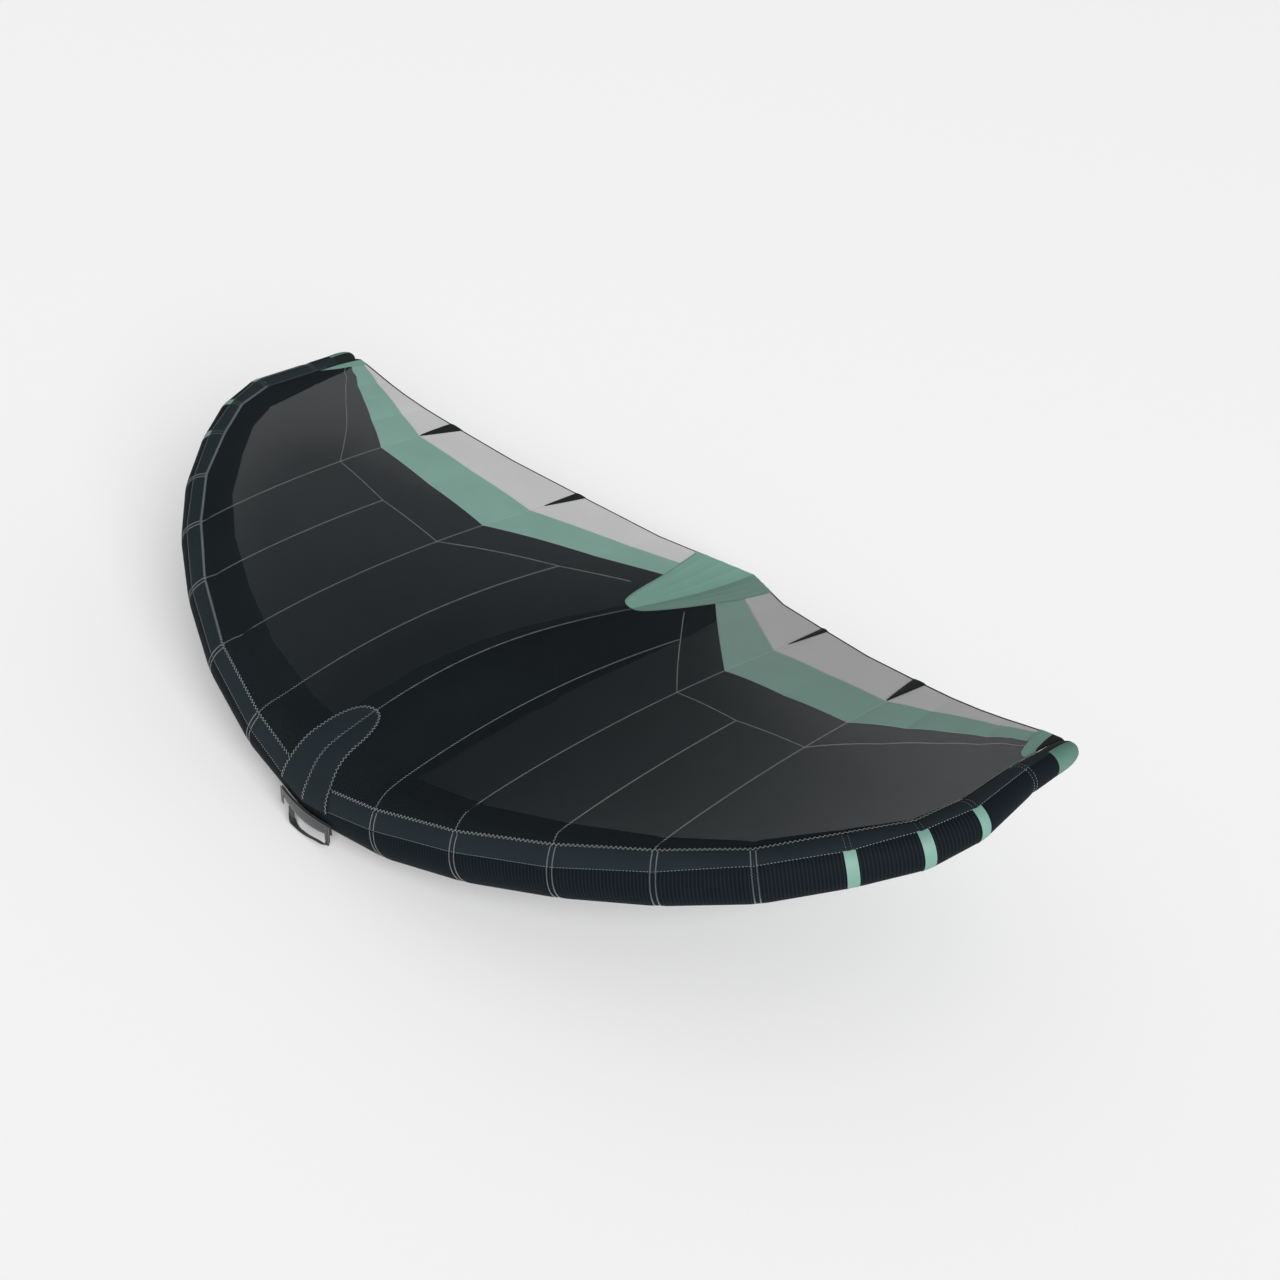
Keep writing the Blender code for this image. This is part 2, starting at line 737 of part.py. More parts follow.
def strut_bladder():
    """The air bladder inside the strut, with the port that joins it to the leading edge."""
    front = STRUT_BLADDER_FRONT_SHARE * CENTRE_LENGTH
    rear = STRUT_BLADDER_REAR_SHARE * CENTRE_LENGTH
    skin = CASING_WALL + BLADDER_CLEARANCE
    first = front + STRUT_LEAST_STEP
    last = rear - STRUT_LEAST_STEP
    places = [back for back in strut_stretch() if first < back < last]

    def rings(shrink, inset):
        made = [strut_ring(back, shrink) for back in places]
        ends = []
        for back, size in zip((front + inset, rear - inset), STRUT_BLADDER_END_SHARES):
            ring = strut_ring(back, shrink)
            middle = sum(ring, Vector()) / len(ring)
            ends.append([middle + (point - middle) * size for point in ring])
        return [ends[0]] + made + [ends[1]]

    bladder = finish_mesh("strut_bladder", closed_loft(rings(skin, 0)), film())
    hollow = closed_loft(rings(skin + BLADDER_WALL, BLADDER_WALL))
    cut(bladder, cutter("guide_strut_bladder_inside", hollow))
    top = strut_ring(front, skin)
    middle = sum(top, Vector()) / len(top)
    axis = Vector((0, 1, 0))
    ends = (middle - PORT_OVERRUN * axis, middle + PORT_OVERRUN * axis)
    port = [round_ring(end, axis, VALVE_BORE_RADIUS, VALVE_SIDES) for end in ends]
    cut(bladder, cutter("guide_strut_port", closed_loft(port)))


def canopy_sheet(name, side, stations, column_shares, made):
    """A canopy panel from its stations and a function that gives each station's columns."""
    bottom = []
    top = []
    for station in stations:
        shares = column_shares(station)
        low = [canopy_point(station, share, CANOPY_LIFT) for share in shares]
        high = [canopy_point(station, share, CANOPY_LIFT + CANOPY_THICKNESS) for share in shares]
        bottom.append(mirrored(low, side))
        top.append(mirrored(high, side))
    return finish_mesh(name, sheet(bottom, top), made)


def steps(start, end, count):
    """Values from start to end in even steps, both ends included."""
    return [lerp(start, end, step / count) for step in range(count + 1)]


def panel_stations(first, last):
    """Stations across a panel, with half a seam gap left at each side."""
    stations = [first]
    for start in range(first, last):
        stations += steps(start, start + 1, STATION_STEPS[start])[1:]
    stations[0] += station_gap(first)
    if last < TIP_STATION:
        stations[-1] -= station_gap(last - 1)
    return stations


def station_gap(index):
    """Half a seam gap in stations, from the width between two stations."""
    width = (tube_centre(index + 1) - tube_centre(index)).length
    return SEAM_GAP / 2 / width


def chord_gap(station):
    """Half a seam gap as a part of the chord behind the tube."""
    start = canopy_point(station, 0, 0)
    return SEAM_GAP / 2 / (trailing_point(station) - start).length


def main_columns(station):
    """Columns of a main panel: round the tube, then back to the inner seam."""
    round_tube = steps(-1, 0, ARC_COLUMNS)
    end = table_value(INNER_SHARES, station) - chord_gap(station)
    return round_tube + steps(0, end, MAIN_COLUMNS)[1:]


def band_columns(front_table, rear_table):
    """Columns of a band between two seams, or between a seam and the trailing edge."""
    def columns(station):
        start = table_value(front_table, station) + chord_gap(station)
        end = 1
        if rear_table:
            end = table_value(rear_table, station) - chord_gap(station)
        return steps(start, end, BAND_COLUMNS)
    return columns


def canopy():
    """The canopy: five main panels, a dark strip, a teal band and a light band on each side."""
    for side, word in ((1, "right"), (-1, "left")):
        for number, (first, last) in enumerate(MAIN_PANELS, start=1):
            stations = panel_stations(first, last)
            canopy_sheet(f"canopy_panel_{number}_{word}", side, stations, main_columns, ripstop())
        stations = panel_stations(0, TIP_STATION)
        bands = (
            ("canopy_strip", INNER_SHARES, DARK_SHARES, ripstop()),
            ("canopy_teal_band", DARK_SHARES, LIGHT_SHARES, teal_cloth()),
            ("canopy_light_band", LIGHT_SHARES, None, light_cloth()),
        )
        for name, front_table, rear_table, made in bands:
            columns = band_columns(front_table, rear_table)
            canopy_sheet(f"{name}_{word}", side, stations, columns, made)


def over_canopy(station, share, lift):
    """Point above the canopy on either side of the centre line."""
    point = canopy_point(abs(station), share, CANOPY_LIFT + CANOPY_THICKNESS + lift)
    if station < 0:
        point.x = -point.x
    return point


def nose_patch():
    """The round-ended reinforcement over the middle of the leading edge."""
    across = (-1.0, -0.5, 0.0, 0.5, 1.0)
    canopy_lift = CANOPY_LIFT + CANOPY_THICKNESS
    bottom = []
    top = []
    rows = [("tube", angle) for angle in NOSE_PATCH_FRONT_ANGLES]
    rows += [("canopy", share) for share in steps(-1, 0, ARC_COLUMNS)[1:]]
    rows += [("canopy", share) for share in NOSE_PATCH_REAR_SHARES]
    for (kind, place), width in zip(rows, NOSE_PATCH_WIDTH_SHARES):
        for grid, lift in ((bottom, PATCH_LIFT), (top, PATCH_LIFT + PATCH_THICKNESS)):
            row = []
            for share in across:
                station = share * width
                if kind == "tube":
                    height = canopy_lift + facet_rise(abs(station)) + lift
                    point = tube_point(abs(station), place, height)
                    point.x = math.copysign(point.x, station)
                else:
                    point = over_canopy(station, place, lift)
                row.append(point)
            grid.append(row)
    finish_mesh("nose_patch", sheet(bottom, top), dark_patch())


def tail_patch():
    """The arrow-shaped teal patch where the strut meets the trailing edge."""
    across = (-1.0, -0.5, 0.0, 0.5, 1.0)
    bottom = []
    top = []
    for place, width in TAIL_PATCH_SHARES:
        for grid, lift in ((bottom, PATCH_LIFT), (top, PATCH_LIFT + PATCH_THICKNESS)):
            grid.append([over_canopy(share * width, place, lift) for share in across])
    finish_mesh("tail_patch", sheet(bottom, top), teal_cloth())


def tip_patches():
    """The teal patches that join the canopy's corners to the tube ends."""
    stations = steps(TIP_PATCH_START, TIP_STATION, 4)
    for side, word in ((1, "right"), (-1, "left")):
        bottom = []
        top = []
        for station in stations:
            low = [over_canopy(station, share, PATCH_LIFT) for share in TIP_PATCH_COLUMN_SHARES]
            high = [
                over_canopy(station, share, PATCH_LIFT + PATCH_THICKNESS)
                for share in TIP_PATCH_COLUMN_SHARES
            ]
            bottom.append(mirrored(low, side))
            top.append(mirrored(high, side))
        finish_mesh(f"tip_patch_{word}", sheet(bottom, top), teal_cloth())


def battens():
    """Flat battens at the trailing edge, each under its leaf-shaped pocket."""
    roof = BATTEN_THICKNESS + 2 * POCKET_CLEARANCE
    roof_reach = BATTEN_WIDTH / 2 + POCKET_ROOF_MARGIN
    for number, station in enumerate(BATTEN_STATIONS):
        spacing = (trailing_point(station + 0.5) - trailing_point(station - 0.5)).length
        start = POCKET_START_SHARES[number]
        for side, word in ((1, "right"), (-1, "left")):
            name = f"{number + 1}_{word}"
            bottom = []
            top = []
            for along, size in POCKET_WIDTH_SHARES:
                share = lerp(start, 1, along)
                edge = POCKET_WIDTH * size / 2
                core = min(roof_reach, POCKET_ROOF_LIMIT_SHARE * edge)
                height = roof if size > POCKET_FLAT_SHARE else 0
                low = []
                high = []
                for across, raised in ((-edge, 0), (-core, 1), (0, 1), (core, 1), (edge, 0)):
                    place = station + across / spacing
                    lift = PATCH_LIFT + raised * height
                    low.append(over_canopy(place, share, lift))
                    high.append(over_canopy(place, share, lift + CANOPY_THICKNESS))
                bottom.append(mirrored(low, side))
                top.append(mirrored(high, side))
            finish_mesh(f"batten_pocket_{name}", sheet(bottom, top), dark_patch())
            bar = []
            half = BATTEN_WIDTH / 2 / spacing
            for lift in (PATCH_LIFT, PATCH_LIFT + BATTEN_THICKNESS):
                grid = []
                for along in BATTEN_PLACE_SHARES:
                    share = lerp(start, 1, along)
                    row = [over_canopy(station + across * half, share, lift) for across in (-1, 0, 1)]
                    grid.append(mirrored(row, side))
                bar.append(grid)
            finish_mesh(f"batten_{name}", sheet(bar[0], bar[1]), fibreglass())


def rounded_section(half_width, half_height):
    """Eight corner points of a strap or grip section, across and up."""
    corner = min(half_width, half_height) * SECTION_CORNER_SHARE
    return (
        (half_width, half_height - corner),
        (half_width - corner, half_height),
        (-half_width + corner, half_height),
        (-half_width, half_height - corner),
        (-half_width, -half_height + corner),
        (-half_width + corner, -half_height),
        (half_width - corner, -half_height),
        (half_width, -half_height + corner),
    )


def swept(path, widths, sizes):
    """A strap along a path, with its own width direction and size at each point."""
    rings = []
    for index, point in enumerate(path):
        before = path[max(index - 1, 0)]
        after = path[min(index + 1, len(path) - 1)]
        along = (after - before).normalized()
        wide = (widths[index] - widths[index].dot(along) * along).normalized()
        thick = wide.cross(along)
        half_width, half_height = sizes[index]
        rings.append([
            point + a * wide + b * thick for a, b in rounded_section(half_width, half_height)
        ])
    return closed_loft(rings)


def handle_patch(name, front, rear):
    """A cloth patch along the strut's belly that carries a handle."""
    places = [front] + [back for back in strut_stretch() if front < back < rear] + [rear]
    middle = STRUT_SIDES // 2
    picks = (middle - 2, middle - 1, middle, middle + 1)
    bottom = []
    top = []
    for back in places:
        rings = []
        for grow in (SEAM_GAP, SEAM_GAP + HANDLE_PATCH_THICKNESS):
            ring = strut_on_facets(back, -grow)
            rings.append([ring[index] for index in picks])
        bottom.append(rings[0])
        top.append(rings[1])
    finish_mesh(name, sheet(bottom, top), dark_patch())


def strut_on_facets(back, shrink):
    """A strut ring at any place, read from the straight runs between the strut's own rings."""
    places = strut_stretch()
    for low, high in zip(places, places[1:]):
        if low <= back <= high:
            share = (back - low) / (high - low)
            rings = strut_ring(low, shrink), strut_ring(high, shrink)
            return [lerp(a, b, share) for a, b in zip(*rings)]
    return strut_ring(back, shrink)


def patch_belly(back):
    """Height of a handle patch's lowest facet at a place along the strut."""
    depth = SEAM_GAP + HANDLE_PATCH_THICKNESS
    return min(point.z for point in strut_on_facets(back, -depth))


def handle_axis(number):
    """The two ends of the line that a strut handle swings about.

    The line runs along the patch and clears it by a seam's gap all along the rolled ends.
    """
    centre = HANDLE_CENTRE_SHARES[number] * CENTRE_LENGTH
    reach = HANDLE_LENGTH / 2
    front, rear = (Vector((0, back, patch_belly(back))) for back in (centre - reach, centre + reach))
    sag = 0
    for end in (front.y, rear.y):
        for back in steps(end - HANDLE_ROOT_LENGTH, end + HANDLE_ROOT_LENGTH, HANDLE_CLEARANCE_STEPS):
            line = lerp(front.z, rear.z, (back - front.y) / HANDLE_LENGTH)
            sag = max(sag, line - patch_belly(back))
    fall = Vector((0, 0, sag + SEAM_GAP + HANDLE_ROOT_RADIUS))
    print("handle line lowered by", sag)
    return [front - fall, rear - fall]


def handle_loop(front, rear, along, down):
    """A loop handle between two places, its ends rolled about the line that it swings on."""
    roll = HANDLE_ROOT_SHARE * HANDLE_ROOT_RADIUS
    web = (HANDLE_WEB_WIDTH / 2, HANDLE_WEB_THICKNESS / 2)
    grip = (GRIP_WIDTH / 2, GRIP_THICKNESS / 2)
    drop = HANDLE_DROP - GRIP_THICKNESS / 2 - HANDLE_ROOT_RADIUS
    length = (rear - front).length
    half = []
    for distance in (-HANDLE_ROOT_LENGTH, 0):
        half.append((front + distance * along, (roll, roll)))
    for share, fall, size in HANDLE_LEG_SHARES:
        wide = lerp(roll, web[0], size)
        thick = lerp(roll, web[1], size)
        half.append((front + share * length * along + fall * drop * down, (wide, thick)))
    half.append((front + HANDLE_GRIP_SHARE * length * along + drop * down, grip))
    middle = (front + rear) / 2
    path = [point for point, _ in half]
    path.append(middle + (drop + HANDLE_BOW) * down)
    sizes = [size for _, size in half] + [grip]
    for point, size in reversed(half):
        from_middle = (point - middle).dot(along)
        path.append(point - 2 * from_middle * along)
        sizes.append(size)
    return swept(path, [Vector((1, 0, 0))] * len(path), sizes)


def strut_handles():
    """Two padded loop handles that hang from patches under the strut."""
    for number, word in enumerate(("front", "rear")):
        front, rear = handle_axis(number)
        start = front.y - HANDLE_PATCH_OVERHANG
        end = rear.y + HANDLE_PATCH_OVERHANG
        handle_patch(f"handle_patch_{word}", start, end)
        along = (rear - front).normalized()
        down = Vector((1, 0, 0)).cross(along)
        if down.z > 0:
            down = -down
        made = handle_loop(front, rear, along, down)
        piece = finish_mesh(f"strut_handle_{word}", made, webbing())
        print("handle", word, "hinge from", tuple(front), "to", tuple(rear))
        move_origin(piece, (front + rear) / 2)


def move_origin(piece, place):
    """Puts a piece's origin on its joint's axis."""
    for vert in piece.data.vertices:
        vert.co -= place
    piece.location = place


def front_handle_end():
    """Top of the front handle's right-hand end, just off the face of the nose panel."""
    station = FRONT_HANDLE_REACH / tube_centre(1).x
    centre = lerp(tube_centre(0), tube_centre(1), station)
    radius = lerp(tube_radius(0), tube_radius(1), station)
    height = -FRONT_HANDLE_DROP - centre.z
    flat = radius * math.cos(math.pi / TUBE_SIDES)
    face = centre.y - math.sqrt(flat ** 2 - height ** 2)
    gap = SEAM_GAP + FRONT_PAD_THICKNESS / 2
    return Vector((centre.x, face - gap, -FRONT_HANDLE_DROP))


def front_bow(across):
    """Place on the front handle's bow at a distance from the centre line."""
    end = front_handle_end()
    share = across / end.x
    return Vector((across, end.y - FRONT_HANDLE_BOW * (1 - share ** 2), end.z))


def front_pad():
    """The padded grip across the nose, deepest in the middle."""
    reach = front_handle_end().x
    path = []
    sizes = []
    for share in steps(-1, 1, FRONT_HANDLE_STEPS):
        depth = lerp(FRONT_PAD_HEIGHT, FRONT_PAD_END_HEIGHT, share ** 2)
        path.append(front_bow(share * reach) - Vector((0, 0, depth / 2)))
        sizes.append((depth / 2, FRONT_PAD_THICKNESS / 2))
    widths = [Vector((0, 0, 1))] * len(path)
    return finish_mesh("front_handle_pad", swept(path, widths, sizes), dark_patch())


def front_strap():
    """The webbing along the grip, with a tab that hangs down at each end."""
    reach = front_handle_end().x
    forward = (FRONT_PAD_THICKNESS + FRONT_STRAP_THICKNESS) / 2 + FRONT_HANDLE_CLEARANCE
    inside = reach - FRONT_TAB_WIDTH
    middle = steps(-inside + FRONT_TAB_CORNER, inside - FRONT_TAB_CORNER, FRONT_HANDLE_STEPS)
    columns = [(-reach, FRONT_TAB_LENGTH), (-inside, FRONT_TAB_LENGTH)]
    columns += [(across, FRONT_STRAP_WIDTH) for across in middle]
    columns += [(inside, FRONT_TAB_LENGTH), (reach, FRONT_TAB_LENGTH)]
    front = []
    back = []
    for across, depth in columns:
        top = front_bow(across) - Vector((0, forward, 0))
        rows = [top - Vector((0, 0, depth * share)) for share in (0, 1)]
        shift = Vector((0, FRONT_STRAP_THICKNESS / 2, 0))
        front.append([row - shift for row in rows])
        back.append([row + shift for row in rows])
    return finish_mesh("front_handle_strap", sheet(front, back), webbing())


def front_handle():
    """The handle across the nose, which tilts about the line through its top ends."""
    place = front_handle_end()
    pieces = (front_pad(), front_strap())
    print("front handle hinge", tuple(place))
    for piece in pieces:
        move_origin(piece, Vector((0, place.y, place.z)))


def loop_ends():
    """Left and right ends of the leash loop, just under the grip and under the right tab."""
    reach = front_handle_end().x
    left = front_bow(-LOOP_LEFT_REACH)
    inner = LOOP_LEFT_REACH - LOOP_WIDTH / 2
    depth = lerp(FRONT_PAD_HEIGHT, FRONT_PAD_END_HEIGHT, (inner / reach) ** 2)
    left.z -= depth + LOOP_SEAT_GAP
    right = front_bow(reach - LOOP_RIGHT_INSET)
    right.z -= FRONT_TAB_LENGTH + LOOP_SEAT_GAP
    right.y = left.y
    return left, right


def leash_loop():
    """The black webbing loop that a leash ties to, hanging from the front handle."""
    left, right = loop_ends()
    guide = []
    for along, fall, _, _ in LOOP_SHARES:
        guide.append(lerp(left, right, along) - Vector((0, 0, fall * LOOP_DROP)))
    path = []
    widths = []
    sizes = []
    for index in range(len(guide) - 1):
        before = guide[max(index - 1, 0)]
        start = guide[index]
        end = guide[index + 1]
        after = guide[min(index + 2, len(guide) - 1)]
        count = LOOP_STEPS + 1 if index == len(guide) - 2 else LOOP_STEPS
        for step in range(count):
            share = step / LOOP_STEPS
            path.append(curve_point(before, start, end, after, share))
            turn = math.radians(lerp(LOOP_SHARES[index][2], LOOP_SHARES[index + 1][2], share))
            widths.append(Vector((math.cos(turn), math.sin(turn), 0)))
            size = lerp(LOOP_SHARES[index][3], LOOP_SHARES[index + 1][3], share)
            sizes.append((size * LOOP_WIDTH / 2, LOOP_THICKNESS / 2))
    for end in (0, -1):
        wide, thick = sizes[end]
        sizes[end] = (wide, thick * LOOP_END_SHARE)
    piece = finish_mesh("leash_loop", swept(path, widths, sizes), black_webbing())
    print("leash loop hinge from", tuple(left), "to", tuple(right))
    move_origin(piece, left)


def curve_point(before, start, end, after, share):
    """A point on the smooth curve through four neighbouring points."""
    square = share * share
    cube = square * share
    return (
        start * 2
        + (end - before) * share
        + (before * 2 - start * 5 + end * 4 - after) * square
        + (start * 3 - before - end * 3 + after) * cube
    ) / 2


def inflation_valve():
    """The inflation valve at the back of the nose panel, and its hinged cap."""
    centre, axis = valve_frame()
    flange = SEAM_GAP + VALVE_FLANGE_THICKNESS
    barrel = flange + VALVE_BARREL_LENGTH
    profile = (
        (VALVE_BORE_RADIUS, -VALVE_NECK_LENGTH),
        (VALVE_NECK_RADIUS, -VALVE_NECK_LENGTH),
        (VALVE_NECK_RADIUS, SEAM_GAP),
        (VALVE_FLANGE_RADIUS, SEAM_GAP),
        (VALVE_FLANGE_RADIUS, flange),
        (VALVE_BARREL_RADIUS, flange),
        (VALVE_BARREL_RADIUS, barrel),
        (VALVE_BORE_RADIUS, barrel),
    )
    body = turned(profile, centre, axis, VALVE_SIDES)
    finish_mesh("valve_body", body, valve_plastic(), VALVE_SMOOTH_ANGLE)
    start = barrel + SEAM_GAP
    edge = VALVE_BARREL_RADIUS
    outline = (
        (edge, start),
        (edge, start + VALVE_CAP_THICKNESS - VALVE_CAP_CHAMFER),
        (edge - VALVE_CAP_CHAMFER, start + VALVE_CAP_THICKNESS),
    )
    rings = [round_ring(centre + along * axis, axis, size, VALVE_SIDES) for size, along in outline]
    lid = finish_mesh("valve_cap", closed_loft(rings), valve_plastic(), VALVE_SMOOTH_ANGLE)
    up = Vector((1, 0, 0)).cross(axis)
    if up.z < 0:
        up = -up
    hinge = centre + start * axis + edge * up.normalized()
    print("valve centre", tuple(centre), "axis", tuple(axis), "barrel", barrel)
    print("cap hinge", tuple(hinge))
    move_origin(lid, hinge)


def set_down():
    """Sets the wing down with the bottom centre of its box at the origin."""
    bpy.context.view_layer.update()
    low = Vector((math.inf,) * 3)
    high = Vector((-math.inf,) * 3)
    pieces = [piece for piece in bpy.data.objects if piece.type == "MESH"]
    for piece in pieces:
        if piece.hide_render:
            continue
        for vert in piece.data.vertices:
            place = piece.matrix_world @ vert.co
            low = Vector(map(min, low, place))
            high = Vector(map(max, high, place))
    shift = Vector((-(low.x + high.x) / 2, -(low.y + high.y) / 2, -low.z))
    for piece in pieces:
        piece.location += shift
    print("box", tuple(low), tuple(high), "shift", tuple(shift))


def main():
    for old in list(bpy.data.objects):
        bpy.data.objects.remove(old, do_unlink=True)
    leading_edge_casing()
    tip_caps()
    leading_edge_bladder()
    strut_casing()
    strut_bladder()
    canopy()
    nose_patch()
    tail_patch()
    tip_patches()
    battens()
    strut_handles()
    front_handle()
    leash_loop()
    inflation_valve()
    set_down()


main()
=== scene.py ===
"""Looks of an inflatable wing for wing foiling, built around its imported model."""
from functools import lru_cache
import math

import bmesh
import bpy
from mathutils import Matrix, Vector


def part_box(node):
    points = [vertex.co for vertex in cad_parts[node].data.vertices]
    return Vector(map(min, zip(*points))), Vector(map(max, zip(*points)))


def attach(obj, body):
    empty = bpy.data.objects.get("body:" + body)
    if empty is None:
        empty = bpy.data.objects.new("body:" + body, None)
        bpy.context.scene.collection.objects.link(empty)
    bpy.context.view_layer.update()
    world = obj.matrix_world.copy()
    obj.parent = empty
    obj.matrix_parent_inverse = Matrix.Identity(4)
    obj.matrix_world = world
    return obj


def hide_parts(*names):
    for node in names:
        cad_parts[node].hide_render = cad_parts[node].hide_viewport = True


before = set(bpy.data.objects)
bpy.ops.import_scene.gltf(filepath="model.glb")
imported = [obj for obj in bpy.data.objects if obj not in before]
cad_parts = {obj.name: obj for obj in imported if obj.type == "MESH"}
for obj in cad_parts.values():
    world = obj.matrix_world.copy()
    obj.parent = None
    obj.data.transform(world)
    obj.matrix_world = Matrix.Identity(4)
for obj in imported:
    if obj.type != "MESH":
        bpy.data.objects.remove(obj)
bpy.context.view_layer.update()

# Driving sizes, in metres, as the model has them
HALF_WIDTH = 1.630
CENTRE_LENGTH = 2.150
TIP_HEIGHT = 0.490
NOSE_RADIUS = 0.132
STRUT_RADIUS = 0.150
CASING_WALL = 0.0012
CANOPY_THICKNESS = 0.0008
CANOPY_LIFT = 0.0007
PATCH_THICKNESS = 0.0010
PATCH_LIFT = 0.0009
SEAM_GAP = 0.0003
NOSE_FAIRING = 0.038
NOSE_REST_HALF = 0.030
# How upright the first mitred ring beside the nose stands
NOSE_RING_LEAN = 0.97
BILLOW = 0.007
# Steepness with which the canopy runs on from the tube over the strut
FAIRING_RUN_ON = 0.60

# Leading-edge stations: along the half width, back along the centre length, up the tip height
# and the tube's radius as a part of the nose's
TUBE_SHARES = (
    (0.000, 0.064, 0.000, 1.000),
    (0.178, 0.064, 0.117, 0.900),
    (0.337, 0.080, 0.268, 0.805),
    (0.491, 0.119, 0.411, 0.740),
    (0.632, 0.169, 0.541, 0.662),
    (0.752, 0.229, 0.662, 0.595),
    (0.847, 0.302, 0.788, 0.556),
    (0.917, 0.367, 0.876, 0.492),
    (0.951, 0.433, 0.947, 0.440),
    (0.962, 0.540, 0.984, 0.340),
    (0.972, 0.591, 0.992, 0.305),
)
TIP_CAP_LENGTH = 0.125
TIP_CAP_SHARES = (
    (0.00, 1.00), (0.15, 0.998), (0.30, 0.988), (0.45, 0.965), (0.60, 0.91),
    (0.75, 0.81), (0.86, 0.68), (0.94, 0.49), (0.985, 0.29), (1.00, 0.12),
)
TUBE_PANELS = ((1, 2), (2, 3), (3, 4), (4, 5), (5, 6), (6, 7), (7, 8), (8, 10))
TIP_STATION = 10
SIDES = ((1, "right"), (-1, "left"))

# Where the canopy is sewn to the tube and where it leaves it, in degrees from the ring's top
SEAM_ANGLES = (-60, -48, -38, -27, -12, 0, 14, 24, 40, 52, 58)
LEAVE_ANGLES = (-5, -5, -5, -5, -5, 6, 20, 30, 46, 58, 64)
# The long seam along the front of the tube, where the smooth cloth meets the ribbed cloth
FRONT_SEAM_ANGLES = (-90, -75.5, -67, -61, -49, -34, -29, -11, -10, -5, 0)
BACK_SEAM_ANGLE = 112
ARC_COLUMNS = 4

# Trailing edge stations and the canopy's profile, as the model has them
TRAILING_SHARES = (
    (0.000, 1.000, -0.073),
    (0.190, 0.884, 0.173),
    (0.366, 0.804, 0.398),
    (0.517, 0.739, 0.584),
    (0.666, 0.695, 0.739),
    (0.742, 0.676, 0.812),
    (0.804, 0.664, 0.873),
    (0.853, 0.658, 0.920),
    (0.890, 0.655, 0.956),
    (0.928, 0.652, 0.992),
    (0.958, 0.652, 1.004),
)
CAMBER_SHARES = (0.061, 0.050, 0.036, 0.032, 0.029, 0.028, 0.027, 0.024, 0.020, 0.010, 0.006)
FRONT_POWER_SHARES = (1.1, 1.0, 0.8, 0.8, 0.8, 0.8, 0.8, 0.8, 0.8, 0.8, 0.8)
REAR_POWER_SHARES = (2.3, 1.6, 1.1, 1.0, 1.0, 1.0, 1.0, 1.0, 1.0, 1.0, 1.0)
INNER_SHARES = (0.790, 0.668, 0.514, 0.509, 0.500, 0.600, 0.642, 0.678, 0.690, 0.560, 0.420)
DARK_SHARES = (0.872, 0.781, 0.656, 0.672, 0.668, 0.720, 0.748, 0.764, 0.780, 0.680, 0.560)
LIGHT_SHARES = (0.942, 0.897, 0.814, 0.834, 0.834, 0.869, 0.898, 0.908, 0.926, 0.920, 0.880)

# Strut: back along the centre length and radius as a part of the strut's own
STRUT_SHARES = (
    (0.080, 0.86), (0.120, 0.94), (0.220, 1.00), (0.330, 0.97), (0.450, 0.87),
    (0.650, 0.69), (0.800, 0.535), (0.955, 0.355), (0.963, 0.325), (0.969, 0.275),
    (0.973, 0.21), (0.975, 0.12),
)
STRUT_FLAT = math.cos(math.pi / 24)
STRUT_PANEL_SHARES = (0.245, 0.415, 0.585, 0.750, 0.880)

# A round tube as big around as the model's tube of 24 flats
ROUND_SHARE = 0.9957
TUBE_COLUMNS = 32
STRUT_COLUMNS = 56
TUBE_SINK = 0.0005

# Cloth draws in where it is sewn: depth, reach along the tube, and the rows that show it
PINCH_DEPTH = 0.0020
PINCH_REACH = 0.013
PINCH_ROWS = (0.0, 0.006, 0.012, 0.020, 0.034)
ROW_STEP = 0.055

# The model's own zero is the front seam of the nose; the row frame's is the middle of its base
NOSE_LOW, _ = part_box("le_nose_panel")
NOSE_FRONT = TUBE_SHARES[0][1] * CENTRE_LENGTH - NOSE_RADIUS
SHIFT = Vector((0, NOSE_LOW.y - NOSE_FRONT, NOSE_LOW.z + NOSE_RADIUS))

# Camera at the photograph's viewing angle
CAMERA_PLACE = Vector((2.3361, -1.5255, 2.5099))
CAMERA_RIGHT = Vector((0.73373, 0.66992, 0.11331))
CAMERA_DOWN = Vector((0.44942, -0.35346, -0.82042))
CAMERA_LENS = 35
CAMERA_SENSOR = 36

# Soft light from all round, and a broad key from the right, beside the camera
AROUND_STRENGTH = 0.34
KEY_DIRECTION = Vector((0.75, -0.42, 0.52))
KEY_STRENGTH = 3.5
KEY_SPREAD = 45

# Half the floor's side, and its height, just under the wing
FLOOR_HALF = 60
FLOOR_HEIGHT = -0.0005


# Shape of the wing

def lerp(a, b, share):
    """The value a given share of the way from a to b."""
    return a + (b - a) * share


def steps(start, end, count):
    """Values from start to end in even steps, both ends included."""
    return [lerp(start, end, step / count) for step in range(count + 1)]


def round_angles(count):
    """Angles in degrees, in even steps once round a ring."""
    return steps(0, 360, count)[:-1]


def table_value(table, station):
    """A table's value at a station that may lie between two of its rows."""
    low = min(int(station), len(table) - 2)
    return lerp(table[low], table[low + 1], station - low)


def share_value(rows, share):
    """The value at a share from rows of (share, value)."""
    for (low, size), (high, after) in zip(rows, rows[1:]):
        if share <= high:
            return lerp(size, after, min(max((share - low) / (high - low), 0), 1))
    return rows[-1][1]


